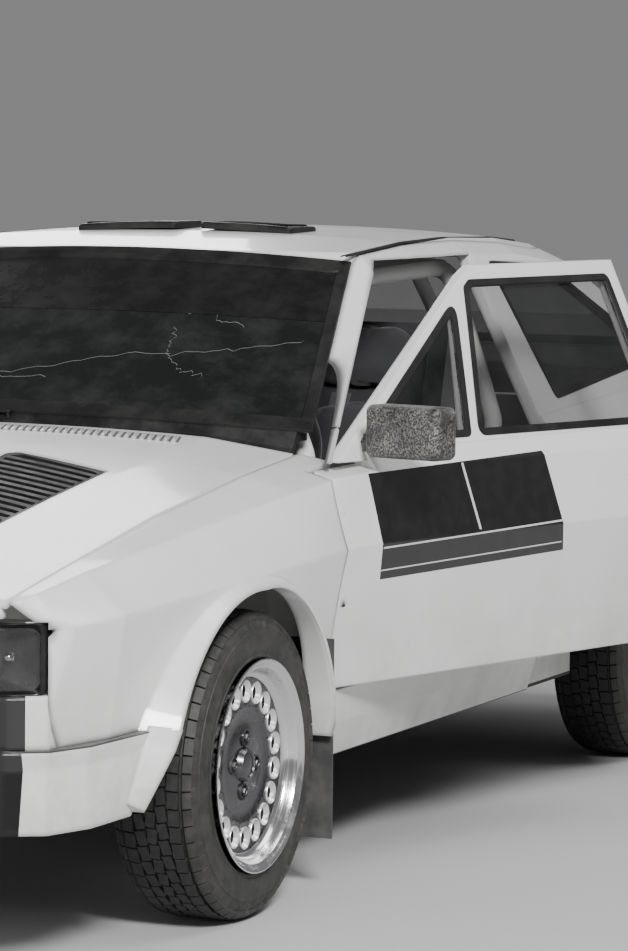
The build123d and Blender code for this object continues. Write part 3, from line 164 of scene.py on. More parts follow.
class WheelSettings(bpy.types.PropertyGroup):
    """The dished wheels' face."""

    holes: bpy.props.IntProperty(
        name="Holes", description="Round holes in the face", default=18, min=6, max=30)
    hole_radius: bpy.props.FloatProperty(
        name="Hole Radius", description="Throat of each hole", default=0.0135, unit="LENGTH", min=0.005,
        max=0.02)
    flare: bpy.props.FloatProperty(
        name="Flare", description="Width of the bright funnel round each hole", default=0.0101, unit="LENGTH",
        min=0.002, max=0.014)
    nut_circle: bpy.props.FloatProperty(
        name="Nut Circle", description="Radius of the circle of wheel nuts", default=0.054, unit="LENGTH",
        min=0.04, max=0.07)


class SealSettings(bpy.types.PropertyGroup):
    """The rubber seals round the glass."""

    screen: bpy.props.FloatProperty(
        name="Windscreen Seal", description="Width of the windscreen's seal", default=0.026, unit="LENGTH")
    banner: bpy.props.FloatProperty(
        name="Sun Strip", description="Height of the dark strip along the windscreen's top", default=0.128,
        unit="LENGTH")
    side: bpy.props.FloatProperty(
        name="Side Seal", description="Width of the side windows' seals", default=0.013, unit="LENGTH")


# Meshes

def grid_faces(rows, columns, wrap_rows=False, wrap_columns=False):
    """Quads of a rows by columns grid of points. Wrapping joins the last row or column to the first."""
    row = np.arange(rows if wrap_rows else rows - 1)
    column = np.arange(columns if wrap_columns else columns - 1)
    i, j = [part.ravel() for part in np.meshgrid(row, column, indexing="ij")]
    i2, j2 = (i + 1) % rows, (j + 1) % columns
    return np.stack([i * columns + j, i2 * columns + j, i2 * columns + j2, i * columns + j2], axis=1)


def joined(parts):
    """Several (points, faces) pairs as one."""
    points, faces, start = [], [], 0
    for part_points, part_faces in parts:
        points.append(part_points.reshape(-1, 3))
        faces.append(part_faces + start)
        start += len(points[-1])
    return np.concatenate(points), np.concatenate(faces)


def mirrored(part):
    """A (points, faces) pair on the car's other side, its faces still outwards."""
    points, faces = part
    return points * (1, -1, 1), faces[:, ::-1]


def both_sides(part, on_door=False):
    """A left piece and its mirror image, each with its side. A piece of the left door is swung open with
    it."""
    return ("left", swung(part) if on_door else part), ("right", mirrored(part))


def mesh_of(name, part):
    """A new mesh of (points, faces)."""
    points, faces = part
    mesh = bpy.data.meshes.new(name)
    mesh.from_pydata(points.reshape(-1, 3).tolist(), [], faces.tolist())
    return mesh


def put_in_scene(name, data):
    """A new object in the scene."""
    thing = bpy.data.objects.new(name, data)
    bpy.context.scene.collection.objects.link(thing)
    return thing


def new_piece(name, part, material, body, sharp=40, outward=False):
    """A mesh object of (points, faces) that rides on a body, smooth up to an edge angle of sharp
    degrees."""
    mesh = mesh_of(name, part)
    mesh.validate()
    if outward:
        recalculate(mesh)
    mesh.set_sharp_from_angle(angle=math.radians(sharp))
    mesh.polygons.foreach_set("use_smooth", np.ones(len(mesh.polygons), dtype=bool))
    mesh.materials.append(material)
    piece = put_in_scene(name, mesh)
    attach(piece, body)
    return piece


def recalculate(mesh):
    """Merges doubles and turns every face of a closed mesh outwards."""
    work = bmesh.new()
    work.from_mesh(mesh)
    bmesh.ops.remove_doubles(work, verts=work.verts, dist=1e-6)
    bmesh.ops.recalc_face_normals(work, faces=work.faces)
    work.to_mesh(mesh)
    work.free()


def revolved(profile, count):
    """A profile of (y, r) points turned about the Y axis: (r cos t, y, r sin t)."""
    profile = np.array(profile, float)
    turn = np.linspace(0, 2 * math.pi, count, endpoint=False)[:, None]
    y, r = profile[None, :, 0], profile[None, :, 1]
    points = np.stack([r * np.cos(turn), y + 0 * turn, r * np.sin(turn)], axis=-1)
    return points, grid_faces(count, len(profile), wrap_rows=True)


def cap_faces(start, count):
    """Quads that close a ring of an even number of points."""
    half = np.arange(count // 2 - 1)
    low, high = start + half, start + count - 1 - half
    return np.stack([low, low + 1, high - 1, high], axis=1)


def boxes(centres, along, across, up, sizes, taper=0.8):
    """Many blocks at once, each a frustum; its axes and size are its own, or one row for all. Three rings,
    at shares of its height, carry it from its full width to a top that is smaller by taper, with a chamfer
    below it."""
    along, across, up, sizes = [np.broadcast_to(rows, centres.shape) for rows in (along, across, up, sizes)]
    corner = np.array([(-1, -1), (1, -1), (1, 1), (-1, 1)]) / 2
    rings = []
    for height, share in ((-0.5, 1.0), (0.34, 0.97), (0.5, taper)):
        x = corner[None, :, 0, None] * sizes[:, None, 0:1] * share * along[:, None]
        y = corner[None, :, 1, None] * sizes[:, None, 1:2] * share * across[:, None]
        rings.append(centres[:, None] + x + y + height * sizes[:, None, 2:3] * up[:, None])
    points = np.stack(rings, axis=1).reshape(-1, 12, 3)
    quad = []
    for ring in (0, 4):
        for k in range(4):
            quad.append((ring + k, ring + (k + 1) % 4, ring + 4 + (k + 1) % 4, ring + 4 + k))
    quad += [(8, 9, 10, 11), (3, 2, 1, 0)]
    faces = (np.arange(len(points)) * 12)[:, None, None] + np.array(quad)[None]
    return points, faces.reshape(-1, 4)


def rounded_outline(corners, radius, steps=6):
    """A closed flat outline with each corner turned into a curve that leaves one side at a and joins the
    other at b, where an arc of that radius would, or sooner on short sides: (1-t)^2 a + 2 t (1-t) corner +
    t^2 b."""
    corners = np.array(corners, float)
    out = []
    for before, corner, after in zip(np.roll(corners, 1, axis=0), corners, np.roll(corners, -1, axis=0)):
        a, b = before - corner, after - corner
        length_a, length_b = np.linalg.norm(a), np.linalg.norm(b)
        a, b = a / length_a, b / length_b
        half = math.acos(np.clip(a @ b, -1, 1)) / 2
        reach = min(radius / math.tan(half), 0.45 * length_a, 0.45 * length_b)
        t = np.linspace(0, 1, steps)[:, None]
        start, end = corner + a * reach, corner + b * reach
        out.append((1 - t) ** 2 * start + 2 * t * (1 - t) * corner + t ** 2 * end)
    return np.concatenate(out)


def drawn_in(outline, share):
    """A flat outline drawn towards its middle, to a share of its size."""
    middle = outline.mean(axis=0)
    return middle + (outline - middle) * share


def inset(outline, distance):
    """A closed outline moved inwards along its normals by distance."""
    ahead = np.roll(outline, -1, axis=0) - np.roll(outline, 1, axis=0)
    ahead /= np.linalg.norm(ahead, axis=1)[:, None]
    normal = np.stack([-ahead[:, 1], ahead[:, 0]], axis=1)
    area = np.sum(outline[:, 0] * np.roll(outline[:, 1], -1) - np.roll(outline[:, 0], -1) * outline[:, 1])
    return outline + normal * distance * (1 if area > 0 else -1)


def house_share(z):
    """How far up the glasshouse's slope a height lies: 0 at the lower outline, 1 at the upper."""
    return (z - HOUSE_LOW_Z) / (HOUSE_HIGH_Z - HOUSE_LOW_Z)


def side_wall(x, z):
    """Half width of the glasshouse's side: straight between the outline's corners at each height."""
    share = house_share(z)[..., None, None]
    corners = HOUSE_LOW + (HOUSE_HIGH - HOUSE_LOW) * share
    y = np.full(np.shape(x), np.nan)
    for k in range(1, 4):
        first, last = corners[..., k, :], corners[..., k + 1, :]
        part = (x - first[..., 0]) / (last[..., 0] - first[..., 0])
        inside = np.isnan(y) & (part <= 1)
        y = np.where(inside, first[..., 1] + part * (last[..., 1] - first[..., 1]), y)
    return y


def house_corner(k, share):
    """The x and y of the glasshouse outline's corner k, at a share of the way up."""
    return [low + share * (high - low) for low, high in zip(HOUSE_LOW[k], HOUSE_HIGH[k])]


def screen_wall(y, z):
    """The windscreen's x: at each height an arc through the two corners and the middle."""
    share = house_share(z)
    corner_x, corner_y = house_corner(0, share)
    middle = SCREEN_MIDDLE[0] + share * (SCREEN_MIDDLE[1] - SCREEN_MIDDLE[0])
    return arc_depth(y, corner_y, middle - corner_x, middle)


def tail_wall(y, z):
    """The rear window's x: at each height an arc bowed out behind its two corners."""
    corner_x, corner_y = house_corner(4, house_share(z))
    return -arc_depth(y, corner_y, TAIL_BOW, TAIL_BOW - corner_x)


def arc_depth(y, half, rise, middle):
    """Distance of an arc's point at y. The arc rises by rise over a chord of 2 half and peaks at middle, so
    its radius is (half^2 + rise^2) / (2 rise)."""
    radius = (half ** 2 + rise ** 2) / (2 * rise)
    return middle - radius + np.sqrt(radius ** 2 - y ** 2)


# Materials

class Finish:
    """One procedural material, built node by node on Object coordinates."""

    def __init__(self, name, colour, roughness, **sockets):
        self.material = bpy.data.materials.new(name)
        self.material.use_nodes = True
        self.tree = self.material.node_tree
        self.shader = self.tree.nodes["Principled BSDF"]
        self.shader.inputs["Base Color"].default_value = (*colour, 1)
        self.shader.inputs["Roughness"].default_value = roughness
        for key, value in sockets.items():
            self.shader.inputs[key.replace("_", " ")].default_value = value

    def node(self, kind, inputs=None, output=0, **options):
        """A new node's output, with its inputs linked or set."""
        node = self.tree.nodes.new("ShaderNode" + kind)
        for key, value in options.items():
            setattr(node, key, value)
        for key, value in (inputs or {}).items():
            self.feed(node.inputs[key], value)
        return node.outputs[output]

    def feed(self, socket, value):
        """Links a socket, or sets its value."""
        if isinstance(value, bpy.types.NodeSocket):
            self.tree.links.new(value, socket)
        else:
            socket.default_value = value

    def place(self, origin=(0, 0, 0), turn=(0, 0, 0)):
        """Object coordinates measured from an origin on turned axes."""
        coordinates = self.node("TexCoord", output="Object")
        return self.node("Mapping", {"Vector": coordinates, "Location": origin, "Rotation": turn},
                         vector_type="TEXTURE")

    def noise(self, scale, detail=4.0, roughness=0.55):
        """Cloudy noise from 0 to 1."""
        return self.node("TexNoise", {"Vector": self.place(), "Scale": scale, "Detail": detail,
                                      "Roughness": roughness})

    def cells(self, scale):
        """Distance to scattered points."""
        return self.node("TexVoronoi", {"Vector": self.place(), "Scale": scale})

    def math(self, operation, first, second=0.0):
        """One sum."""
        return self.node("Math", {0: first, 1: second}, operation=operation)

    def plus(self, first, second):
        """Two values added."""
        return self.math("ADD", first, second)

    def times(self, first, second):
        """Two values multiplied."""
        return self.math("MULTIPLY", first, second)

    def above(self, value, limit):
        """1 where the value is greater than the limit, else 0."""
        return self.math("GREATER_THAN", value, limit)

    def below(self, value, limit):
        """1 where the value is less than the limit, else 0."""
        return self.math("LESS_THAN", value, limit)

    def wave(self, value, pitch):
        """Ribs: the sine of the value, pitch radians to the unit."""
        return self.math("SINE", self.times(value, pitch))

    def span(self, value, low, high, start=0.0, end=1.0):
        """The value's place between low and high, held to start and end beyond them."""
        limits = {"Value": value, "From Min": low, "From Max": high, "To Min": start, "To Max": end}
        return self.node("MapRange", limits)

    def half_width(self, where):
        """Distance from the car's middle plane."""
        return self.math("ABSOLUTE", self.axis(where, "Y"))

    def axle_distance(self, centre):
        """Distance from a wheel's axle."""
        flat = self.node("VectorMath", {0: self.place(centre), 1: (1, 0, 1)}, operation="MULTIPLY")
        return self.node("VectorMath", {0: flat}, output="Value", operation="LENGTH")

    def axis(self, vector, name):
        """One coordinate of a vector."""
        return self.node("SeparateXYZ", {0: vector}, output=name)

    def blend(self, share, first, second):
        """Two colours mixed."""
        node = self.tree.nodes.new("ShaderNodeMix")
        node.data_type = "RGBA"
        for socket, value in zip((node.inputs[0], node.inputs[6], node.inputs[7]), (share, first, second)):
            if isinstance(value, tuple) and len(value) == 3:
                value = (*value, 1)
            self.feed(socket, value)
        return node.outputs[2]

    def blend_number(self, share, first, second):
        """Two numbers mixed: first + share (second - first)."""
        return self.plus(first, self.times(share, self.math("SUBTRACT", second, first)))

    def paint_with(self, colour=None, roughness=None, metallic=None, height=None, strength=0.3,
                   distance=0.001, edge=0.0):
        """Feeds the shader; edge rounds the shading of sharp edges by that many metres."""
        for key, value in (("Base Color", colour), ("Roughness", roughness), ("Metallic", metallic)):
            if value is not None:
                self.feed(self.shader.inputs[key], value)
        normal = self.node("Bevel", {"Radius": edge}, samples=4) if edge else None
        if height is not None:
            inputs = {"Height": height, "Strength": strength, "Distance": distance}
            if normal is not None:
                inputs["Normal"] = normal
            normal = self.node("Bump", inputs)
        if normal is not None:
            self.feed(self.shader.inputs["Normal"], normal)
        return self.material

    def inside(self, x, z, corners):
        """1 inside a convex flat outline given anticlockwise, else 0: every edge's half plane
        multiplied."""
        result = None
        for (x0, z0), (x1, z1) in zip(corners, corners[1:] + corners[:1]):
            a, b = z0 - z1, x1 - x0
            reach = self.plus(self.times(x, a), self.times(z, b))
            within = self.above(reach, a * x0 + b * z0)
            result = within if result is None else self.times(result, within)
        return result


def settings(name):
    """One of the scene's property groups."""
    return getattr(bpy.context.scene, "rally_" + name)


def hue(key):
    """One of the paint settings' colours."""
    return tuple(getattr(settings("paint"), key))


# Heights between which road dust thins out on the paint, the grey of chips, and the near-black painted shade of
# the gap at the bumper's joint
DUST_Z = (0.26, 0.62)
CHIP_GREY = (0.12, 0.12, 0.12)
GAP_SHADE_GREY = (0.03, 0.03, 0.03)


def paint_finish(name, panel_side=0, black=None, joint=None, edge=0.016):
    """White paint with a wet coat, dust towards the ground and stone chips. panel_side puts the race panel
    on the left (1) or right (-1) door. black gives the half width, and the x, within which the nose is
    black. joint is the height above which the bumper's top lip is painted near-black, a painted shade of
    its gap to the wing, and edge the radius that softens its creases."""
    body, dust = hue("body"), hue("dust")
    finish = Finish(name, body, 0.3, Coat_Weight=0.5, Coat_Roughness=0.06)
    height_z = finish.axis(finish.place(), "Z")
    clouds = finish.noise(5.0, 6.0)
    fine = finish.noise(60.0, 3.0)
    tone = finish.blend(finish.span(clouds, 0.3, 0.7), body, tuple(0.93 * c for c in body))
    patches = finish.span(finish.plus(clouds, finish.times(fine, 0.4)), 0.45, 0.95)
    low = finish.times(finish.span(height_z, DUST_Z[1], DUST_Z[0]), patches)
    specks = finish.span(finish.noise(14.0, 8.0, 0.7), 0.56, 0.8)
    film = finish.plus(finish.times(low, 0.55), finish.times(specks, 0.07))
    chips = finish.span(finish.cells(95.0), 0.075, 0.055)
    chips = finish.times(chips, finish.span(finish.noise(9.0), 0.60, 0.64))
    colour = finish.blend(film, tone, dust)
    colour = finish.blend(finish.times(chips, 0.75), colour, CHIP_GREY)
    roughness = finish.span(film, 0.0, 0.6, 0.28, 0.75)
    if panel_side:
        colour, roughness = race_panel(finish, colour, roughness, panel_side)
    if joint is not None:
        # Painted shade: above the joint the bumper's top lip is near-black, as if in the shade of its gap to the
        # wing
        colour = finish.blend(finish.above(height_z, joint), colour, GAP_SHADE_GREY)
    if black is not None:
        where = finish.place()
        middle = finish.below(finish.half_width(where), black[0])
        front = finish.above(finish.axis(where, "X"), black[1])
        share = finish.times(middle, front)
        colour = finish.blend(share, colour, hue("plastic"))
        roughness = finish.blend_number(share, roughness, 0.2)
    height = finish.plus(finish.noise(3.0, 2.0), finish.times(fine, 0.02))
    return finish.paint_with(colour, roughness, height=height, strength=0.12, distance=0.004, edge=edge)


# The race panel on the closed door, x and z: the panel, its upright divider, and its two level lines
PANEL = [(0.034, 0.654), (0.698, 0.636), (0.719, 0.861), (0.085, 0.878)]
DIVIDER = [(0.353, 0.722), (0.361, 0.722), (0.394, 0.867), (0.386, 0.867)]
UPPER_LINE = [(0.05, 0.720), (0.700, 0.702), (0.700, 0.706), (0.05, 0.724)]
LOWER_LINE = [(0.045, 0.672), (0.698, 0.654), (0.698, 0.657), (0.045, 0.675)]


def race_panel(finish, colour, roughness, side):
    """A black vinyl panel with white lines, laid over the door's colour in the closed door's
    coordinates."""
    turn = (0, 0, DOOR_SWING) if side > 0 else (0, 0, 0)
    hinge = (DOOR_HINGE[0], DOOR_HINGE[1] * side, 0)
    where = finish.place(hinge, turn)
    x = finish.plus(finish.axis(where, "X"), DOOR_HINGE[0])
    z = finish.axis(where, "Z")
    panel = finish.inside(x, z, PANEL)
    lines = finish.inside(x, z, DIVIDER)
    for line in (UPPER_LINE, LOWER_LINE):
        lines = finish.math("MAXIMUM", lines, finish.inside(x, z, line))
    worn = finish.span(finish.noise(30.0, 6.0), 0.4, 0.75)
    vinyl = finish.blend(worn, hue("panel"), (0.012, 0.012, 0.012))
    colour = finish.blend(panel, colour, vinyl)
    colour = finish.blend(finish.times(lines, 0.9), colour, (0.7, 0.7, 0.7))
    return colour, finish.blend_number(panel, roughness, 0.16)


def trim_finish(name, colour, roughness=0.55, grain=420.0, dusty=0.10, edge=0.002):
    """Moulded plastic or rubber: fine grain, and dust where it has settled."""
    finish = Finish(name, colour, roughness, Specular_IOR_Level=0.25)
    grains = finish.noise(grain, 2.0)
    cloud = finish.span(finish.noise(12.0, 8.0, 0.65), 0.42, 0.78)
    tone = finish.blend(finish.times(cloud, dusty), colour, hue("dust"))
    rough = finish.span(cloud, 0.0, 1.0, roughness, min(roughness + 0.3, 0.95))
    return finish.paint_with(tone, rough, height=grains, strength=0.35, distance=0.0006, edge=edge)


def metal_finish(name, colour, roughness=0.4, metallic=1.0, grime=0.5, grain=160.0):
    """Bare or cast metal with a rough skin and grime in patches."""
    finish = Finish(name, colour, roughness, Metallic=metallic)
    patches = finish.span(finish.noise(7.0, 8.0, 0.65), 0.42, 0.68)
    share = finish.times(patches, grime)
    tone = finish.blend(share, colour, (0.06, 0.052, 0.045))
    rough = finish.span(patches, 0.0, 1.0, roughness, 0.85)
    shine = finish.span(share, 0.0, 1.0, metallic, 0.0)
    return finish.paint_with(tone, rough, shine, finish.noise(grain, 4.0), 0.4, 0.0012, edge=0.002)


def tyre_finish(centre):
    """Tyre rubber: dust in the grooves and on the sidewall, and fine rings moulded round the wheel's
    centre."""
    rubber = hue("rubber")
    ring_pitch = 0.0042
    finish = Finish("tyre_rubber", rubber, 0.62)
    radius = finish.axle_distance(centre)
    tread = finish.span(radius, TYRE_R - 0.002, TYRE_R - 0.010)
    cloud = finish.noise(22.0, 8.0, 0.7)
    dust = finish.times(tread, finish.span(cloud, 0.36, 0.72, 0.03, 0.30))
    scuff = finish.span(finish.noise(70.0, 5.0), 0.5, 0.72, 0.0, 0.14)
    tone = finish.blend(finish.plus(dust, scuff), rubber, (0.13, 0.125, 0.118))
    rings = finish.wave(radius, 2 * math.pi / ring_pitch)
    shoulder = finish.span(radius, TYRE_R - 0.036, TYRE_R - 0.042)
    rings = finish.times(finish.times(rings, shoulder), 0.25)
    height = finish.plus(rings, finish.times(finish.noise(180.0, 4.0), 0.8))
    return finish.paint_with(tone, height=height, strength=0.35, distance=0.0009)


def alloy_finish(name, centre, roughness, rings, colour):
    """Turned aluminium: fine circular lines round the wheel's centre, brake dust and dull patches."""
    finish = Finish(name, colour, roughness, Metallic=1.0)
    turned = finish.times(finish.axle_distance(centre), rings)
    lines = finish.node("TexNoise", {"W": turned, "Scale": 1.0, "Detail": 3.0}, noise_dimensions="1D")
    grime = finish.span(finish.noise(26.0, 9.0, 0.72), 0.52, 0.80)
    tone = finish.blend(finish.times(grime, 0.55), colour, tuple(0.4 * c for c in colour))
    rough = finish.plus(finish.span(lines, 0.3, 0.7, roughness - 0.06, roughness + 0.10),
                        finish.times(grime, 0.3))
    shine = finish.span(grime, 0.0, 1.0, 1.0, 0.45)
    return finish.paint_with(tone, rough, shine, lines, 0.18, 0.0004)


# The grey of a film of dust on glass
GLASS_DUST = (0.30, 0.29, 0.28)


def glass_finish(name, tint=(0.004, 0.005, 0.005), alpha=0.30, dusty=0.04, clean=0.02):
    """Thin glass: mostly see-through, with a clear shine and a film of dust."""
    finish = Finish(name, tint, clean, IOR=1.5, Alpha=alpha)
    film = finish.span(finish.noise(9.0, 9.0, 0.72), 0.44, 0.86)
    finish.feed(finish.shader.inputs["Alpha"], finish.span(film, 0.0, 1.0, alpha, alpha + dusty))
    tone = finish.blend(finish.times(film, 0.10), tint, GLASS_DUST)
    return finish.paint_with(tone, finish.span(film, 0.0, 1.0, clean, 0.20))


def lens_finish(name, flutes):
    """Fluted lamp glass: upright ribs moulded in the glass, dust, and a dark clear body."""
    body = (0.05, 0.05, 0.052)
    finish = Finish(name, body, 0.06, IOR=1.5, Alpha=0.42)
    ribs = finish.wave(finish.axis(finish.place(), "Y"), flutes)
    film = finish.span(finish.noise(18.0, 7.0, 0.7), 0.45, 0.8)
    tone = finish.blend(finish.times(film, 0.4), body, GLASS_DUST)
    rough = finish.span(film, 0.0, 1.0, 0.05, 0.4)
    return finish.paint_with(tone, rough, height=ribs, strength=0.5, distance=0.0006)


# The tail lamps: half width where the amber band starts, half width and height that bound the clear band
AMBER_Y = 0.640
CLEAR_Y, CLEAR_Z = 0.520, 0.628


def tail_finish(name):
    """A tail lamp's lens: upright and level ribs, an amber outer band, and a clear band low down."""
    red, amber, clear = (0.20, 0.010, 0.008), (0.45, 0.14, 0.02), (0.45, 0.44, 0.43)
    finish = Finish(name, red, 0.10, Coat_Weight=0.4)
    where = finish.place()
    ribs = [finish.wave(finish.axis(where, axis), pitch) for axis, pitch in (("Y", 1400.0), ("Z", 1100.0))]
    across = finish.half_width(where)
    tone = finish.blend(finish.above(across, AMBER_Y), red, amber)
    low_band = finish.times(finish.below(across, CLEAR_Y), finish.below(finish.axis(where, "Z"), CLEAR_Z))
    tone = finish.blend(low_band, tone, clear)
    dust = finish.span(finish.noise(20.0, 7.0, 0.7), 0.45, 0.8, 0.0, 0.35)
    tone = finish.blend(dust, tone, hue("dust"))
    rough = finish.span(dust, 0.0, 0.35, 0.10, 0.5)
    return finish.paint_with(tone, rough, height=finish.plus(*ribs), strength=0.4, distance=0.0006, edge=0.004)


# Half width and height beyond which the floor node shows as a painted sill
SILL_Y, SILL_Z = 0.735, 0.258


def sill_finish(name):
    """The floor's finish: body paint on the sills' outer skin, and grey underseal with dirt everywhere
    else."""
    body, dust = hue("body"), hue("dust")
    finish = Finish(name, body, 0.5)
    where = finish.place()
    height = finish.axis(where, "Z")
    skin = finish.times(finish.above(finish.half_width(where), SILL_Y), finish.above(height, SILL_Z))
    clouds = finish.noise(7.0, 8.0, 0.65)
    grit = finish.noise(60.0, 6.0, 0.7)
    seal = finish.blend(finish.span(clouds, 0.35, 0.7), (0.018, 0.018, 0.018), (0.075, 0.070, 0.064))
    low = finish.times(finish.span(height, 0.42, 0.26), finish.span(clouds, 0.35, 0.75, 0.2, 0.9))
    paint = finish.blend(finish.times(low, 0.7), body, dust)
    rough = finish.span(skin, 0.0, 1.0, 0.85, 0.42)
    return finish.paint_with(finish.blend(skin, seal, paint), rough, height=grit, strength=0.3, distance=0.001,
                             edge=0.006)


def speckled_finish(name):
    """Black moulding spattered with dried mud: grains of two sizes over fine dust."""
    plastic, mud = hue("plastic"), (0.34, 0.33, 0.31)
    finish = Finish(name, plastic, 0.5)
    coarse = finish.span(finish.noise(230.0, 4.0, 0.65), 0.47, 0.62)
    grains = finish.span(finish.cells(520.0), 0.42, 0.20)
    cloud = finish.span(finish.noise(16.0, 5.0), 0.36, 0.62, 0.25, 0.85)
    share = finish.times(finish.math("MAXIMUM", coarse, grains), cloud)
    tone = finish.blend(share, plastic, mud)
    rough = finish.span(share, 0.0, 1.0, 0.35, 0.85)
    return finish.paint_with(tone, rough, height=share, strength=0.4, distance=0.0008, edge=0.003)


def cloth_finish(name, colour, weave=1500.0):
    """Woven cloth: two crossed sets of threads, a soft sheen and worn patches."""
    finish = Finish(name, colour, 0.9, Sheen_Weight=0.35, Sheen_Roughness=0.5)
    where = finish.place()
    threads = [finish.wave(finish.axis(where, axis), weave) for axis in "YZ"]
    height = finish.times(*threads)
    worn = finish.span(finish.noise(8.0, 6.0), 0.4, 0.75)
    faded = tuple(2.2 * c + 0.01 for c in colour)
    tone = finish.blend(finish.times(worn, 0.4), colour, faded)
    return finish.paint_with(tone, height=height, strength=0.4, distance=0.0006)


def dress(node, material):
    """Gives a CAD node its material."""
    slots = NODES[node].data.materials
    slots.clear()
    slots.append(material)


# Wheels

def tyre_carcass():
    """The tyre's body: half a section of (y, r) points from the tread's middle to the rim, with low ribs on
    the sidewall, mirrored and turned about the axle."""
    depth = settings("tyre").depth
    half = [
        (0.0, TYRE_R - depth), (0.052, TYRE_R - depth - 0.001), (0.074, TYRE_R - depth - 0.006),
        (0.084, TYRE_R - 0.026), (0.0885, TYRE_R - 0.040), (0.0900, TYRE_R - 0.041), (0.0905, TYRE_R - 0.044),
        (0.0900, TYRE_R - 0.046), (0.0930, TYRE_R - 0.060), (0.0925, RIM_R + 0.030), (0.0900, RIM_R + 0.016),
        (0.0915, RIM_R + 0.014), (0.0915, RIM_R + 0.010), (0.0870, RIM_R + 0.006), (0.0800, RIM_R + 0.002),
        (0.0700, RIM_R + 0.0012),
    ]
    other_half = [(-y, r) for y, r in half[1:]]
    return revolved(other_half[::-1] + half, 128)


# Rows of tread blocks: y of the middle, width, share of a pitch, lean in degrees, start within a pitch,
# sink below the tyre's radius, tilt in degrees
TREAD_ROWS = [
    (0.0000, 0.0232, 0.94, 12, 0.00, 0.0000, 0),
    (0.0242, 0.0232, 0.94, -10, 0.35, 0.0000, 2),
    (-0.0242, 0.0232, 0.94, -10, 0.85, 0.0000, -2),
    (0.0496, 0.0266, 0.94, 4, 0.15, 0.0012, 7),
    (-0.0496, 0.0266, 0.94, 4, 0.65, 0.0012, -7),
    (0.0745, 0.0215, 0.92, 0, 0.15, 0.0080, 34),
    (-0.0745, 0.0215, 0.92, 0, 0.65, 0.0080, -34),
]
# How far the blocks reach down into the carcass, and how far their tops stay inside the tyre's radius
BLOCK_ROOT = 0.004
BLOCK_GAP = 0.0008
# Ribs on the sidewall: lean in degrees, radius below the tyre's, half width of the tyre there, and size
LUG_LEAN = 68
LUG_SINK = 0.0285
LUG_Y = 0.0835
LUG_SIZE = (0.017, 0.017, 0.0034)
# The way along an axle
SIDE = np.array((0.0, 1.0, 0.0))


def round_tyre(start):
    """Unit vectors outwards and ahead at every pitch of the tread, from a start in shares of a pitch."""
    count = settings("tyre").pitches
    turn = np.arange(count) * 2 * math.pi / count + start * 2 * math.pi / count
    out = np.stack([np.cos(turn), 0 * turn, np.sin(turn)], axis=1)
    ahead = np.stack([-np.sin(turn), 0 * turn, np.cos(turn)], axis=1)
    return out, ahead


def tread_blocks():
    """Every tread block: each row's blocks stand evenly round the tyre, leaning in the tread and tilted at
    the shoulder."""
    tyre = settings("tyre")
    parts = []
    for middle, width, share, lean, start, sink, tilt in TREAD_ROWS:
        out, ahead = round_tyre(start)
        slope, skew = math.radians(tilt), math.radians(lean)
        up = out * math.cos(slope) + SIDE * math.sin(slope)
        flat = SIDE * math.cos(slope) - out * math.sin(slope)
        along = ahead * math.cos(skew) + flat * math.sin(skew)
        across = np.cross(up, along)
        height = tyre.depth + BLOCK_ROOT
        centre = out * (TYRE_R - sink - BLOCK_GAP - height / 2) + SIDE * middle
        length = 2 * math.pi * TYRE_R / tyre.pitches * share
        size = (length, width - tyre.groove * 0.5, height)
        parts.append(boxes(centre, along, across, up, size, taper=0.93))
    return joined(parts)


def shoulder_lugs():
    """Thin ribs that run from each shoulder block down the sidewall."""
    parts = []
    for side, start in ((1, 0.15), (-1, 0.65)):
        out, ahead = round_tyre(start)
        lean = math.radians(LUG_LEAN) * side
        up = out * math.cos(lean) + SIDE * math.sin(lean)
        centre = out * (TYRE_R - LUG_SINK) + SIDE * LUG_Y * side
        parts.append(boxes(centre, ahead, np.cross(up, ahead), up, LUG_SIZE, taper=0.9))
    return joined(parts)


def hole_cells(profile, spread=False):
    """One cell for each hole of the face: rings of a (radius from the hole's middle, proud of the face)
    profile, and with spread a last ring on the face along the cell's four-sided edge, which meets the next
    cell's."""
    wheel = settings("wheel")
    turn = np.linspace(0, 2 * math.pi, HOLE_RAYS, endpoint=False) + math.pi / HOLE_RAYS
    ray = np.stack([np.cos(turn), np.sin(turn)], axis=1)
    low_r, high_r = FACE_R
    parts = []
    for k in range(wheel.holes):
        middle = 2 * math.pi * (k + 0.5) / wheel.holes
        outward = np.array((math.cos(middle), math.sin(middle)))
        beside = np.array((-outward[1], outward[0]))
        rings = []
        for radius, proud in profile:
            flat = HOLE_CIRCLE_R * outward + radius * (ray[:, :1] * outward + ray[:, 1:] * beside)
            rings.append(np.stack([flat[:, 0], np.full(HOLE_RAYS, FACE_Y + proud), flat[:, 1]], axis=1))
        if spread:
            reach = 1 / np.maximum(np.abs(ray[:, 0]), np.abs(ray[:, 1]))
            edge_r = (low_r + high_r) / 2 + ray[:, 0] * reach * (high_r - low_r) / 2
            edge_turn = middle + ray[:, 1] * reach * math.pi / wheel.holes
            level = np.full(HOLE_RAYS, FACE_Y)
            rings.append(np.stack([edge_r * np.cos(edge_turn), level, edge_r * np.sin(edge_turn)], axis=1))
        parts.append((np.stack(rings), grid_faces(len(rings), HOLE_RAYS, wrap_columns=True)))
    return joined(parts)


# Where the bright funnels end and the throats, painted near-black as shade, begin, and where those end, behind the
# face
FUNNEL_FOOT = -0.0065
THROAT_TOP, THROAT_FOOT = -0.0063, -0.026


def rim_face():
    """The wheel's flat face: each hole's cell from under its rolled lip out to the cell's edge."""
    wheel = settings("wheel")
    lip = wheel.hole_radius + wheel.flare
    return hole_cells([(lip - 0.002, -0.001), (lip + 0.0008, -0.0004), (lip + 0.0018, 0.0)], spread=True)


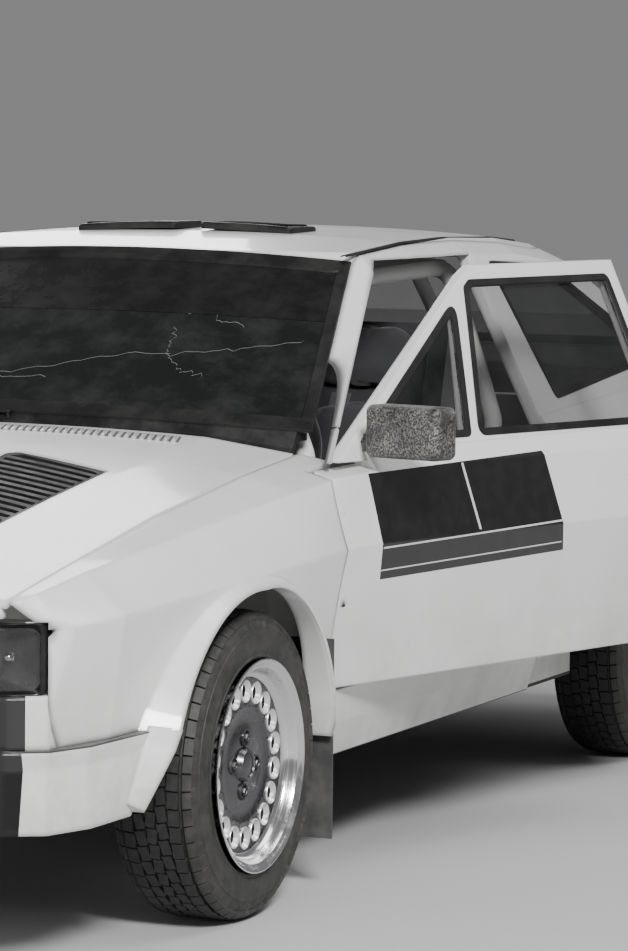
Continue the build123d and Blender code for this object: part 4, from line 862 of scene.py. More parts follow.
def hole_flares():
    """The bright funnels: from each throat up a curved cone to a round lip that stands off the face."""
    wheel = settings("wheel")
    throat, lip = wheel.hole_radius, wheel.hole_radius + wheel.flare
    cone = [(throat, FUNNEL_FOOT), (throat + 0.0012, -0.0048), (throat + 0.0045, -0.0012)]
    rolled = [(lip - 0.0040, 0.0010), (lip - 0.0022, 0.0027), (lip - 0.0010, 0.0026), (lip - 0.0002, 0.0014),
              (lip, -0.0006)]
    return hole_cells(cone + rolled)


def hole_throats():
    """Each hole's wall, from the funnel's foot to the disc behind, painted near-black as shade."""
    radius = settings("wheel").hole_radius
    return hole_cells([(radius, THROAT_FOOT), (radius, THROAT_TOP)])


def off_face(rows):
    """Rows of (proud of the wheel's face, radius) as (y, radius)."""
    return [(FACE_Y + proud, radius) for proud, radius in rows]


def rim_middle():
    """The flat middle of the face, with a low step and the raised seat of the centre cap."""
    return revolved(off_face([
        (0, FACE_R[0]), (-0.0035, 0.108), (-0.0045, 0.080), (-0.0030, 0.076), (-0.0030, 0.036), (0.004, 0.033),
        (0.009, 0.030), (0.010, 0.026), (0.007, 0.024), (0.009, 0.012), (0.0095, 0.001)]), 96)


def rim_dish():
    """The deep polished dish from the face out to the rim's lip, and the barrel behind it."""
    dish = off_face([
        (0, FACE_R[1]), (0.0005, 0.181), (0.004, 0.1865), (0.012, 0.1905), (0.026, 0.1940), (0.030, 0.1965),
        (0.032, 0.2015), (0.0345, 0.2045), (0.036, 0.2060), (0.0385, 0.2120), (0.0375, 0.2145), (0.035, 0.2140),
        (0.030, 0.2070)])
    barrel = off_face([(-0.0130, FACE_R[1]), (-0.020, 0.181)]) + [
        (-0.040, 0.186), (-0.0800, 0.190), (-0.0840, 0.2110), (-0.0870, 0.2110), (-0.0870, 0.2070)]
    return joined([revolved(dish[::-1], 160), revolved(barrel, 128)])


def brake_shadow():
    """Painted shadow: a near-black disc behind the face, seen through the holes where drum and hub sit."""
    return revolved(off_face([(-0.0225, 0.1755), (-0.0245, 0.150), (-0.0240, 0.120), (-0.0225, 0.034)]), 64)


def wheel_nuts():
    """Four wheel nuts in their seats: six-sided, with a domed end."""
    seat = revolved(off_face([
        (-0.0035, 0.0180), (0.0015, 0.0172), (0.0022, 0.0158), (0.0010, 0.0145), (-0.0028, 0.0138)]), 28)
    nut = revolved(off_face([
        (-0.0028, 0.0138), (-0.0026, 0.0100), (0.0040, 0.0096), (0.0058, 0.0080), (0.0062, 0.0050),
        (0.0040, 0.0042), (0.0036, 0.0005)]), 6)
    parts = []
    for turn in (5, 95, 185, 275):
        angle = math.radians(turn)
        centre = settings("wheel").nut_circle * np.array((math.cos(angle), 0, math.sin(angle)))
        parts += [(points + centre, faces) for points, faces in (seat, nut)]
    return joined(parts)


def put_on_axle(part, centre):
    """A wheel piece moved to its axle; on the right side it is mirrored first."""
    points, faces = mirrored(part) if centre[1] < 0 else part
    return points + np.array(centre), faces


class MESH_OT_rally_tyres(bpy.types.Operator):
    """Builds the four gravel tyres"""

    bl_idname = "mesh.rally_tyres"
    bl_label = "Gravel Tyres"

    def execute(self, context):
        pieces = (("carcass", tyre_carcass()), ("tread", tread_blocks()), ("shoulder_lugs", shoulder_lugs()))
        for body, centre in WHEELS:
            material = tyre_finish(centre)
            name = body.replace("_wheel", "_tyre")
            for label, part in pieces:
                piece = new_piece(f"{name}_{label}", put_on_axle(part, centre), material, body,
                                  sharp=30, outward=label == "carcass")
                if label == "carcass":
                    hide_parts(name)
        return {"FINISHED"}


class MESH_OT_rally_rims(bpy.types.Operator):
    """Builds the four dished wheels with their nuts"""

    bl_idname = "mesh.rally_rims"
    bl_label = "Dished Wheels"

    def execute(self, context):
        nut = metal_finish("nut_steel", (0.10, 0.10, 0.105), 0.30, grime=0.5)
        # Near-black painted shade: the disc behind the face and the walls of the holes
        drum = metal_finish("brake_drum", (0.012, 0.011, 0.010), 0.85, 0.3)
        # The face and middle are a near-black copy of the alloy, a painted dark reflection, beside the brighter
        # polished dish and rolled lips
        painted_dark_reflection = (0.13, 0.13, 0.135)
        for body, centre in WHEELS:
            polished = alloy_finish("polished_alloy", centre, 0.14, 900.0, hue("alloy"))
            rolled = alloy_finish("rolled_alloy", centre, 0.34, 200.0, (0.88, 0.88, 0.89))
            brushed_painted_dark = alloy_finish("brushed_alloy", centre, 0.24, 700.0, painted_dark_reflection)
            pieces = (("face", rim_face(), brushed_painted_dark), ("hole_flares", hole_flares(), rolled),
                      ("middle", rim_middle(), brushed_painted_dark), ("dish", rim_dish(), polished),
                      ("nuts", wheel_nuts(), nut), ("drum", brake_shadow(), drum),
                      ("hole_throats", hole_throats(), drum))
            name = body.replace("_wheel", "_rim")
            for label, part, material in pieces:
                piece = new_piece(f"{name}_{label}", put_on_axle(part, centre), material, body,
                                  sharp=35)
                if label == "face":
                    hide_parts(name)
        return {"FINISHED"}


# Seals and strips on the glass

def band(outer, inner, wall, normal, proud):
    """A raised flat strip between two outlines on a wall: its outer edge, two top edges and inner edge.
    wall gives an outline's points in space, and normal is the direction that proud is measured in."""
    rows = []
    for share, lift in ((0.0, -0.001), (0.03, proud), (0.88, proud), (1.0, -0.001)):
        rows.append(wall(outer * (1 - share) + inner * share) + np.array(normal) * lift)
    return np.stack(rows), grid_faces(len(rows), len(outer), wrap_columns=True)


def side_points(outline):
    """Outline points (x, z) on the glasshouse's left side."""
    x, z = outline.T
    return np.stack([x, side_wall(x, z), z], axis=1)


def screen_points(outline):
    """Outline points (y, z) on the windscreen."""
    return np.stack([screen_wall(*outline.T), *outline.T], axis=1)


def tail_points(outline):
    """Outline points (y, z) on the rear window."""
    return np.stack([tail_wall(*outline.T), *outline.T], axis=1)


def fine_outline(outline, step=0.02):
    """A closed outline with points no further apart than step, so that a strip follows a bowed wall."""
    out = []
    for start, end in zip(outline, np.roll(outline, -1, axis=0)):
        count = max(1, int(np.linalg.norm(end - start) / step))
        share = np.linspace(0, 1, count, endpoint=False)[:, None]
        out.append(start + (end - start) * share)
    return np.concatenate(out)


# Points across the windscreen, and how far the dark strip stands off the glass
SCREEN_COLUMNS = 41
STRIP_LIFT = 0.0012


def screen_outline():
    """The windscreen's edge (y, z): two sides and two bows, top and bottom."""
    foot_y, foot_z, foot_middle = SCREEN_FOOT
    top_y, top_z, top_middle = SCREEN_TOP
    across = np.linspace(-1, 1, SCREEN_COLUMNS)
    foot = np.stack([across * foot_y, foot_z + (foot_middle - foot_z) * (1 - across ** 2)], axis=1)
    top = np.stack([-across * top_y, top_z + (top_middle - top_z) * (1 - across ** 2)], axis=1)
    return fine_outline(np.concatenate([foot, top]))


def banner_surface():
    """The dark strip inside the windscreen's top edge: rows down from the top, each across the glass. Each
    row's bow, 1 - across squared, is a little flatter than the one above."""
    height = settings("seal").banner
    top_y, top_z, top_middle = SCREEN_TOP
    across = np.linspace(-1, 1, SCREEN_COLUMNS)
    lean = (SCREEN_FOOT[0] - top_y) / (top_z - SCREEN_FOOT[1])
    rows = []
    for drop in np.linspace(0.004, height, 6):
        z = top_z - drop + (top_middle - top_z) * (1 - across ** 2) * (1 - 0.25 * drop / height)
        y = across * (top_y + lean * drop - 0.003)
        rows.append(np.stack([screen_wall(y, z) + STRIP_LIFT, y, z], axis=1))
    return np.stack(rows), grid_faces(len(rows), SCREEN_COLUMNS)


def swung(part):
    """A piece of the closed left door turned about the hinge to where the door stands open."""
    points, faces = part
    cosine, sine = math.cos(DOOR_SWING), math.sin(DOOR_SWING)
    turn = np.array([(cosine, sine, 0), (-sine, cosine, 0), (0, 0, 1)])
    hinge = np.array((DOOR_HINGE[0], DOOR_HINGE[1], 0))
    return (points - hinge) @ turn + hinge, faces


def outward_side():
    """The glasshouse side's outward direction, as a unit vector that leans up with the wall."""
    lean = math.atan2(HOUSE_LOW[2, 1] - HOUSE_HIGH[2, 1], HOUSE_HIGH_Z - HOUSE_LOW_Z)
    return (0.0, math.cos(lean), math.sin(lean))


class MESH_OT_rally_seals(bpy.types.Operator):
    """Builds the rubber seals round the glass and the windscreen's dark strip"""

    bl_idname = "mesh.rally_seals"
    bl_label = "Seals and Strips"

    def execute(self, context):
        seal = settings("seal")
        rubber = trim_finish("seal_rubber", (0.007, 0.007, 0.007), 0.45, dusty=0.06)
        shade = trim_finish("sun_strip_vinyl", (0.005, 0.005, 0.0055), 0.22, grain=40.0, dusty=0.04)
        edge = screen_outline()
        part = band(edge, inset(edge, seal.screen), screen_points, (0.5, 0, 0.86), 0.004)
        new_piece("windscreen_seal", part, rubber, "chassis")
        new_piece("windscreen_sun_strip", banner_surface(), shade, "chassis")
        back = fine_outline(np.array(BACKLIGHT))
        part = band(back, inset(back, seal.screen), tail_points, (-0.4, 0, 0.9), 0.004)
        new_piece("rear_window_seal", part, rubber, "chassis")
        normal = outward_side()
        for label, corners, radius, on_door in (
                ("quarter", QUARTER_WINDOW, 0.018, False), ("front_pane", WINDOW_FRONT, 0.016, True),
                ("main_pane", WINDOW_MAIN, 0.016, True)):
            outline = fine_outline(rounded_outline(corners, radius))
            part = band(inset(outline, -0.004), inset(outline, seal.side), side_points, normal, 0.0025)
            for side, shape in both_sides(part, on_door):
                body = f"{side}_door" if on_door else "chassis"
                new_piece(f"{side}_{label}_seal", shape, rubber, body)
        return {"FINISHED"}


# Roof and bonnet trim

# The strip's line on the left of the roof, x, y and z, its width and height, and how deep its edges sit
ROOF_STRIP = np.array([
    (0.186, 0.555, 1.303), (-0.144, 0.560, 1.329), (-0.438, 0.544, 1.336), (-0.804, 0.534, 1.332),
    (-0.994, 0.523, 1.322)])
ROOF_STRIP_SIZE = (0.014, 0.005)
ROOF_STRIP_SINK = 0.002


def roof_strip():
    """One black drip strip along the roof's edge: a low arched section carried along its line."""
    width, height = ROOF_STRIP_SIZE
    line_x, line_y, line_z = ROOF_STRIP.T
    x = np.linspace(line_x[0], line_x[-1], 40)
    y, z = np.interp(-x, -line_x, line_y), np.interp(-x, -line_x, line_z)
    t = np.linspace(0, math.pi, 7)
    section_y, section_z = np.cos(t) * width / 2, np.sin(t) * height
    points = np.stack([x[:, None] + 0 * t, y[:, None] + section_y, z[:, None] + section_z - ROOF_STRIP_SINK],
                      axis=-1)
    return points, grid_faces(len(x), len(t))


class MESH_OT_rally_roof(bpy.types.Operator):
    """Builds the roof's drip strips"""

    bl_idname = "mesh.rally_roof"
    bl_label = "Roof Strips"

    def execute(self, context):
        rubber = trim_finish("strip_rubber", (0.008, 0.008, 0.008), 0.5, dusty=0.08)
        for side, shape in both_sides(roof_strip()):
            new_piece(f"{side}_roof_strip", shape, rubber, "chassis")
        return {"FINISHED"}


def bonnet_height(x, y):
    """The bonnet's skin: an arc across between the ridges, straight between the sections along the car."""
    table = np.array(BONNET_ROWS)
    ridge_y, ridge_z, middle_z = [np.interp(x, table[:, 0], table[:, k]) for k in (1, 2, 3)]
    return arc_depth(y, ridge_y, middle_z - ridge_z, middle_z)


# The louvres: how many, their pitch across the car, x of the row's middle, how far it bows back at 0.4 m
# from the middle, lean in degrees, slope along the bonnet, and the sizes of a lip and of the slot beside it
LOUVRE_COUNT = 52
LOUVRE_PITCH = 0.0172
LOUVRE_X = 0.862
LOUVRE_BOW = 0.035
LOUVRE_LEAN = 18
LOUVRE_SLOPE = 0.12
LOUVRE_LIP = (0.058, 0.0085, 0.006)
LOUVRE_SLOT = (0.056, 0.0055, 0.0022)


def louvres():
    """The row of small slanted louvres along the bonnet's back edge, each a raised lip over a slot. The row
    bows back as the square of the distance from the middle."""
    y = (np.arange(LOUVRE_COUNT) - (LOUVRE_COUNT - 1) / 2) * LOUVRE_PITCH
    x = LOUVRE_X - LOUVRE_BOW * (y / 0.4) ** 2
    centre = np.stack([x, y, bonnet_height(x, y) + 0.0005], axis=1)
    lean = math.radians(LOUVRE_LEAN)
    along = np.array([(math.cos(lean), math.sin(lean), -LOUVRE_SLOPE)])
    along /= np.linalg.norm(along, axis=1)[:, None]
    up = np.array([(LOUVRE_SLOPE, 0.0, 1.0)])
    up /= np.linalg.norm(up, axis=1)[:, None]
    across = np.cross(up, along)
    lips = boxes(centre, along, across, up, LOUVRE_LIP, taper=0.8)
    slots = boxes(centre + across * LOUVRE_PITCH / 2, along, across, up, LOUVRE_SLOT, taper=0.9)
    return lips, slots


class MESH_OT_rally_bonnet(bpy.types.Operator):
    """Builds the bonnet's row of louvres"""

    bl_idname = "mesh.rally_bonnet"
    bl_label = "Bonnet Louvres"

    def execute(self, context):
        lips, slots = louvres()
        dark = trim_finish("slot_shadow", (0.10, 0.10, 0.10), 0.8)
        new_piece("bonnet_louvres", lips, paint_finish("louvre_paint"), "bonnet", sharp=25)
        new_piece("bonnet_louvre_slots", slots, dark, "bonnet", sharp=25)
        return {"FINISHED"}


# Front arches, carried on down the bumper: x and z of the arch's edge, x and z of the way away from the
# wheel, the lip's y, how far the flare reaches from the edge, and the bumper skin's y
FLARE_TAIL = np.array([
    (1.6800, 0.4396, 0.975, 0.222, 0.8660, 0.0520, 0.8180),
    (1.7000, 0.4000, 0.930, 0.368, 0.8600, 0.0480, 0.8110),
    (1.7440, 0.3430, 0.820, 0.572, 0.8470, 0.0400, 0.8095),
    (1.7820, 0.2930, 0.793, 0.610, 0.8340, 0.0320, 0.8080),
])


def flare_tail():
    """The front flare's foot on the bumper: a four-cornered section carried down the arch's edge, and
    shrinking."""
    count, lip_width, root = 16, 0.012, 0.012
    station = np.linspace(0, len(FLARE_TAIL) - 1, count)
    x, z, away_x, away_z, lip_y, reach, skin_y = [
        np.interp(station, np.arange(len(FLARE_TAIL)), column) for column in FLARE_TAIL.T]
    lip = lip_width * reach / reach[0]
    rows = [(0 * x, skin_y - root), (0 * x, lip_y), (lip, lip_y), (reach, skin_y - 0.001)]
    points = np.stack([np.stack([x + out * away_x, y, z + out * away_z], axis=1) for out, y in rows], axis=1)
    ends = [cap_faces(0, 4), cap_faces((count - 1) * 4, 4)[:, ::-1]]
    return points, np.concatenate([grid_faces(count, 4, wrap_columns=True), *ends])


class MESH_OT_rally_flares(bpy.types.Operator):
    """Builds the feet of the front arches' flares on the bumper"""

    bl_idname = "mesh.rally_flares"
    bl_label = "Flare Feet"

    def execute(self, context):
        paint = paint_finish("flare_paint")
        for side, shape in both_sides(flare_tail()):
            new_piece(f"{side}_flare_foot", shape, paint, "chassis", sharp=50, outward=True)
        return {"FINISHED"}


# Lamps: the middle of each bowl across the car, a bowl's radius, its rim's depth behind the nose and its
# own depth
MAIN_BOWL_Y, LONG_BOWL_Y = 0.686, 0.500
BOWL_R = 0.056
BOWL_RIM = 0.022
BOWL_DEPTH = 0.036
# A bulb's cap: its radius, its length, its foot's depth behind the nose and how far it stands forward of
# that
BULB_R, BULB_LENGTH = 0.011, 0.016
BULB_FOOT, BULB_REACH = 0.056, 0.012
# Rings of the bezel, lens and backing: share of the way out from the middle, and depth behind the nose
BEZEL_RINGS = [(1.0, 0.030), (1.0, 0.004), (0.985, 0.0025), (0.955, 0.004), (0.94, 0.016)]
LENS_RINGS = [(1.0, 0.0075), (0.9, 0.0068), (0.7, 0.0062), (0.4, 0.006), (0.02, 0.006)]
BACKING_RINGS = [(0.97, 0.030), (0.6, 0.048), (0.02, 0.050)]


def nose_x(y):
    """The nose's front at a half width: straight between the plan's corners."""
    return np.interp(np.abs(y), NOSE_PLAN[::-1, 1], NOSE_PLAN[::-1, 0])


def lamp_outline(inset_by, radius):
    """The left lamp's edge (y, z), drawn in and with round corners."""
    (y0, y1), (z0, z1) = LAMP_Y, LAMP_Z
    y0, y1, z0, z1 = y0 + inset_by, y1 - inset_by, z0 + inset_by, z1 - inset_by
    return fine_outline(rounded_outline([(y0, z0), (y1, z0), (y1, z1), (y0, z1)], radius), 0.01)


def lamp_shell(outline, depths, bulge=0.0):
    """Rings of the outline, each drawn towards its middle to its own share, at its own depth behind the
    nose. A bulge swells the middle forward as 1 - share squared."""
    rows = []
    for share, depth in depths:
        y, z = drawn_in(outline, share).T
        rows.append(np.stack([nose_x(y) - depth + bulge * (1 - share ** 2), y, z], axis=1))
    return np.stack(rows), grid_faces(len(rows), len(outline), wrap_columns=True)


def lamp_bowl(centre_y):
    """A lamp's reflector: a paraboloid whose depth falls as the square of the distance from its middle."""
    share = np.linspace(0.02, 1, 10)[:, None]
    turn = np.linspace(0, 2 * math.pi, 48, endpoint=False)
    y = centre_y + BOWL_R * share * np.cos(turn)
    z = sum(LAMP_Z) / 2 + BOWL_R * share * np.sin(turn)
    rim_x = float(nose_x(centre_y + BOWL_R)) - BOWL_RIM
    x = rim_x - BOWL_DEPTH * (1 - share ** 2) + 0 * turn
    return np.stack([x, y, z], axis=-1), grid_faces(*x.shape, wrap_columns=True)


def lamp_bulb(centre_y):
    """A bulb's cap on the bowl's axis: a half round turned about X."""
    t = np.linspace(0.05, math.pi / 2, 8)[:, None]
    turn = np.linspace(0, 2 * math.pi, 20, endpoint=False)
    foot_x = float(nose_x(centre_y)) - BULB_FOOT
    x = foot_x + BULB_LENGTH * np.cos(t) + BULB_REACH + 0 * turn
    y = centre_y + BULB_R * np.sin(t) * np.cos(turn)
    z = sum(LAMP_Z) / 2 + BULB_R * np.sin(t) * np.sin(turn)
    return np.stack([x, y, z], axis=-1), grid_faces(*x.shape, wrap_columns=True)


class MESH_OT_rally_lamps(bpy.types.Operator):
    """Builds the headlamps: dark bezel, reflector bowls and fluted lens"""

    bl_idname = "mesh.rally_lamps"
    bl_label = "Headlamps"

    def execute(self, context):
        bezel_black = trim_finish("lamp_bezel", (0.010, 0.010, 0.010), 0.30)
        back = metal_finish("lamp_backing", (0.035, 0.035, 0.037), 0.35, 0.7, 0.4)
        silver = metal_finish("reflector_silver", (0.78, 0.78, 0.78), 0.12, 1.0, 0.25, 40.0)
        lens_glass = lens_finish("fluted_glass", 900.0)
        edge, opening = lamp_outline(0.0005, 0.012), lamp_outline(0.0095, 0.020)
        pieces = (
            ("bezel", lamp_shell(edge, BEZEL_RINGS), bezel_black, "black_plastic"),
            ("lens", lamp_shell(opening, LENS_RINGS, 0.003), lens_glass, "lamp_glass"),
            ("backing", lamp_shell(edge, BACKING_RINGS), back, "black_plastic"),
            ("main_bowl", lamp_bowl(MAIN_BOWL_Y), silver, "bright_alloy"),
            ("long_bowl", lamp_bowl(LONG_BOWL_Y), silver, "bright_alloy"),
            ("main_bulb", lamp_bulb(MAIN_BOWL_Y), silver, "bright_alloy"),
            ("long_bulb", lamp_bulb(LONG_BOWL_Y), silver, "bright_alloy"),
        )
        for label, part, material, slot in pieces:
            for side, shape in both_sides(part):
                piece = new_piece(f"{side}_lamp_{label}", shape, material, "chassis", sharp=35)
                if (side, label) == ("left", "lens"):
                    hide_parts("headlamps")
        return {"FINISHED"}


# Roof vents: the roof's height at the middle, and how far it falls by a half width. Rings of a frame, by
# how far they are drawn in and their height on the roof. Slats, by how many, lean in degrees, thickness and
# depth
ROOF_TOP, ROOF_FALL, ROOF_HALF = 1.3575, 0.0145, 0.325
FRAME_RINGS = [(0.0, -0.004), (0.0, 0.008), (0.003, 0.0125), (0.012, 0.0135), (0.015, 0.012), (0.015, 0.001)]
SLAT_COUNT, SLAT_LEAN = 9, 38
SLAT_SECTION = (0.0016, 0.011)


def roof_height(y):
    """The roof's skin over the vents: it falls as the square of the distance from the middle."""
    return ROOF_TOP - ROOF_FALL * (y / ROOF_HALF) ** 2


def vent_frame(y0, y1):
    """A roof vent's frame: rings of a round-cornered outline rise from the roof, over a rounded edge and
    down again into the opening, and a last small ring closes its floor."""
    x0, x1 = VENTS_X
    outer = fine_outline(rounded_outline([(x0, y0), (x1, y0), (x1, y1), (x0, y1)], 0.016), 0.012)
    size = np.abs(outer - outer.mean(axis=0)).max(axis=0)
    rows = []
    for share, height in [(1 - inward / size, height) for inward, height in FRAME_RINGS] + [(0.02, 0.001)]:
        x, y = drawn_in(outer, share).T
        rows.append(np.stack([x, y, roof_height(y) + height], axis=1))
    return np.stack(rows), grid_faces(len(rows), len(outer), wrap_columns=True)


def vent_slats(y0, y1):
    """The vent's slats: thin leaning blades from side to side of the opening."""
    x = np.linspace(VENTS_X[0] + 0.026, VENTS_X[1] - 0.022, SLAT_COUNT)
    y = np.full(SLAT_COUNT, (y0 + y1) / 2)
    centre = np.stack([x, y, roof_height(y) + 0.0075], axis=1)
    lean = math.radians(SLAT_LEAN)
    up = (math.cos(lean), 0.0, math.sin(lean))
    size = (y1 - y0 - 0.030, *SLAT_SECTION)
    return boxes(centre, SIDE, np.cross(up, SIDE), up, size, taper=0.9)


class MESH_OT_rally_vents(bpy.types.Operator):
    """Builds the two slatted vents on the roof"""

    bl_idname = "mesh.rally_vents"
    bl_label = "Roof Vents"

    def execute(self, context):
        black = trim_finish("vent_black", (0.010, 0.010, 0.010), 0.42)
        for name, (y0, y1) in zip(("left", "right"), VENTS_Y):
            piece = new_piece(f"{name}_roof_vent_frame", vent_frame(y0, y1), black, "chassis", sharp=35,
                              outward=True)
            if name == "left":
                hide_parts("roof_vents")
            new_piece(f"{name}_roof_vent_slats", vent_slats(y0, y1), black, "chassis", sharp=25)
        return {"FINISHED"}


# Mirrors and glass marks

# The left mirror's pane with the door closed: x, and the corners' y and z
PANE_X = 0.6568
PANE = [(0.836, 0.912), (0.998, 0.912), (0.998, 0.994), (0.836, 0.994)]


def mirror_glass():
    """The left mirror's silvered pane on the housing's back, before the door is swung: a round-cornered
    sheet."""
    outline = rounded_outline(PANE, 0.014)
    rows = []
    for share in (1.0, 0.5, 0.02):
        y, z = drawn_in(outline, share).T
        rows.append(np.stack([np.full(len(y), PANE_X), y, z], axis=1))
    return np.stack(rows), grid_faces(len(rows), len(outline), wrap_columns=True)


# Cracks: y and z where each starts, heading in degrees and length. They stay inside these limits of y and z
CRACKS = [
    (0.30, 1.085, 12, 0.34), (0.30, 1.085, 200, 0.46), (0.05, 1.040, 168, 0.40), (0.30, 1.085, 96, 0.16),
    (0.30, 1.085, -48, 0.14), (0.42, 1.150, 150, 0.20), (-0.22, 1.010, 185, 0.22)]
CRACK_Y = (-0.60, 0.56)
CRACK_Z = (0.985, 1.19)
CRACK_SEED = 11
CRACK_POINTS = 24


def crack_lines():
    """Cracks in the windscreen: each a thin strip whose middle wanders off a straight line by smooth random
    steps."""
    chance = np.random.default_rng(CRACK_SEED)
    parts = []
    for y0, z0, heading, length in CRACKS:
        turn = math.radians(heading)
        along = np.linspace(0, length, CRACK_POINTS)
        drift = np.cumsum(chance.normal(0, 0.0035, CRACK_POINTS))
        y = np.clip(y0 + along * math.cos(turn) - drift * math.sin(turn), *CRACK_Y)
        z = np.clip(z0 + along * math.sin(turn) * 0.4 + drift * math.cos(turn), *CRACK_Z)
        rows = []
        for lift in (-0.0005, 0.0005):
            rows.append(np.stack([screen_wall(y, z + lift) + 0.0010, y, z + lift], axis=1))
        parts.append((np.stack(rows), grid_faces(len(rows), CRACK_POINTS)))
    return joined(parts)


class MESH_OT_rally_glass_marks(bpy.types.Operator):
    """Builds the mirrors' panes and the windscreen's cracks"""

    bl_idname = "mesh.rally_glass_marks"
    bl_label = "Mirror Panes and Cracks"

    def execute(self, context):
        silver = metal_finish("mirror_silver", (0.80, 0.80, 0.80), 0.03, 1.0, 0.12, 20.0)
        for side, shape in both_sides(mirror_glass(), on_door=True):
            new_piece(f"{side}_mirror_pane", shape, silver, f"{side}_door", sharp=35)
        bright = trim_finish("crack_glint", (0.16, 0.16, 0.16), 0.3, grain=90.0)
        new_piece("windscreen_cracks", crack_lines(), bright, "chassis")
        return {"FINISHED"}


# Seats

# Each pad of the left seat: name, length, width, thickness, middle x, y off the seat's middle, z above the
# floor, pitch in degrees
PADS = [
    ("cushion", 0.330, 0.330, 0.075, 0.030, 0.000, 0.176, 4),
    ("thigh_bolster_left", 0.300, 0.062, 0.105, 0.040, 0.148, 0.190, 4),
    ("thigh_bolster_right", 0.300, 0.062, 0.105, 0.040, -0.148, 0.190, 4),
    ("back", 0.500, 0.320, 0.060, -0.158, 0.000, 0.440, 100),
    ("back_bolster_left", 0.420, 0.058, 0.095, -0.142, 0.150, 0.440, 100),
    ("back_bolster_right", 0.420, 0.058, 0.095, -0.142, -0.150, 0.440, 100),
    ("head_pad", 0.150, 0.250, 0.048, -0.226, 0.000, 0.790, 100),
]
# A pad before its cloth swells: points along and round it, and how square its superellipse is
PAD_GRID = (28, 24)
PAD_POWER = 3.2
# Its cloth: size of a voxel, pressure, frames, and how far a point may move
PAD_VOXEL = 0.006
PAD_PRESSURE = 4.0
PAD_FRAMES = 20
PAD_CAP = 0.007
# Sewn channels: half width of the bell curve and its depth. The piping: half its height, and how far it
# stands out
CHANNEL_WIDTH, CHANNEL_DEPTH = 0.0042, 0.0055
PIPING_HALF, PIPING_PROUD = 0.0045, 0.0035


def pillow(length, width, thick):
    """A closed pad: a superellipse section across, which swells from nothing at the ends to its full size.
    At share s along and angle t round: across = w(s) cos t, up = h(s) sin t, each signed power 2 /
    PAD_POWER."""
    rows, columns = PAD_GRID
    s = np.linspace(-1, 1, rows)[:, None]
    t = np.linspace(0, 2 * math.pi, columns, endpoint=False)[None]
    grow = np.clip(1 - np.abs(s) ** PAD_POWER, 0, 1) ** (1 / PAD_POWER)
    wave_x = np.sign(np.cos(t)) * np.abs(np.cos(t)) ** (2 / PAD_POWER)
    wave_z = np.sign(np.sin(t)) * np.abs(np.sin(t)) ** (2 / PAD_POWER)
    along = np.broadcast_to(s * length / 2, PAD_GRID)
    points = np.stack([along, width / 2 * grow * wave_x, thick / 2 * grow * wave_z], axis=-1)
    return points, grid_faces(rows, columns, wrap_columns=True)


def settled(name, part):
    """The pad after its cloth has swelled: remeshed, blown up by pressure, and no point moved past the
    cap."""
    mesh = mesh_of(name, part)
    recalculate(mesh)
    pad = put_in_scene(name, mesh)
    remesh(pad)
    before = vertex_places(pad.data)
    cloth = pad.modifiers.new("cloth", "CLOTH")
    cloth.settings.use_pressure = True
    cloth.settings.uniform_pressure_force = PAD_PRESSURE
    cloth.settings.effector_weights.gravity = 0
    for number in range(1, PAD_FRAMES + 1):
        bpy.context.scene.frame_set(number)
    move = evaluated_places(pad) - before
    reach = np.linalg.norm(move, axis=1)[:, None]
    places = before + move * np.minimum(1, PAD_CAP / np.maximum(reach, 1e-9))
    pad.modifiers.clear()
    bpy.context.scene.frame_set(1)
    pad.data.vertices.foreach_set("co", places.ravel())
    return pad


def remesh(piece):
    """Makes an object's mesh even small quads."""
    modifier = piece.modifiers.new("remesh", "REMESH")
    modifier.mode, modifier.voxel_size = "VOXEL", PAD_VOXEL
    graph = bpy.context.evaluated_depsgraph_get()
    result = bpy.data.meshes.new_from_object(piece.evaluated_get(graph))
    piece.modifiers.clear()
    piece.data = result


def vertex_places(mesh):
    """A mesh's points as rows."""
    places = np.empty(len(mesh.vertices) * 3)
    mesh.vertices.foreach_get("co", places)
    return places.reshape(-1, 3)


def evaluated_places(piece):
    """An object's points after its modifiers, as rows."""
    graph = bpy.context.evaluated_depsgraph_get()
    return vertex_places(piece.evaluated_get(graph).to_mesh())


def quads(mesh):
    """The point numbers of a mesh of four-sided faces, a row each."""
    corners = np.empty(len(mesh.loops), dtype=int)
    mesh.loops.foreach_get("vertex_index", corners)
    if len(corners) != len(mesh.polygons) * 4:
        raise RuntimeError(f"{mesh.name} has faces that aren't four-sided")
    return corners.reshape(-1, 4)


def seamed(places, length, width, thick):
    """Presses the sewn channels into a pad's top and pulls out the piping round its edge: each channel lies
    across the pad and is as deep as a bell curve is high. A wide pad has four, a bolster one."""
    share_up = np.clip(places[:, 2] / (thick / 2), 0, 1)
    press = np.zeros(len(places))
    for line in (np.linspace(-0.3, 0.3, 4) * length if width > 0.2 else [0.0]):
        press += CHANNEL_DEPTH * np.exp(-((places[:, 0] - line) / CHANNEL_WIDTH) ** 2)
    rim = np.abs(places[:, 2]) < PIPING_HALF
    places[:, 2] -= press * share_up
    places[rim, 0] *= 1 + PIPING_PROUD / (length / 2)
    places[rim, 1] *= 1 + PIPING_PROUD / (width / 2)
    return places


def pad_places(places, middle_x, off_y, up_z, pitch, side):
    """A pad's points put in the seat: pitched about Y, then moved; side is 1 on the left and -1 on the
    right."""
    x, y, z = places.T
    cosine, sine = math.cos(pitch), math.sin(pitch)
    return np.stack([x * cosine - z * sine + SEAT_X + middle_x, y + off_y + SEAT_Y * side,
                     x * sine + z * cosine + SEAT_FLOOR_Z + up_z], axis=1)


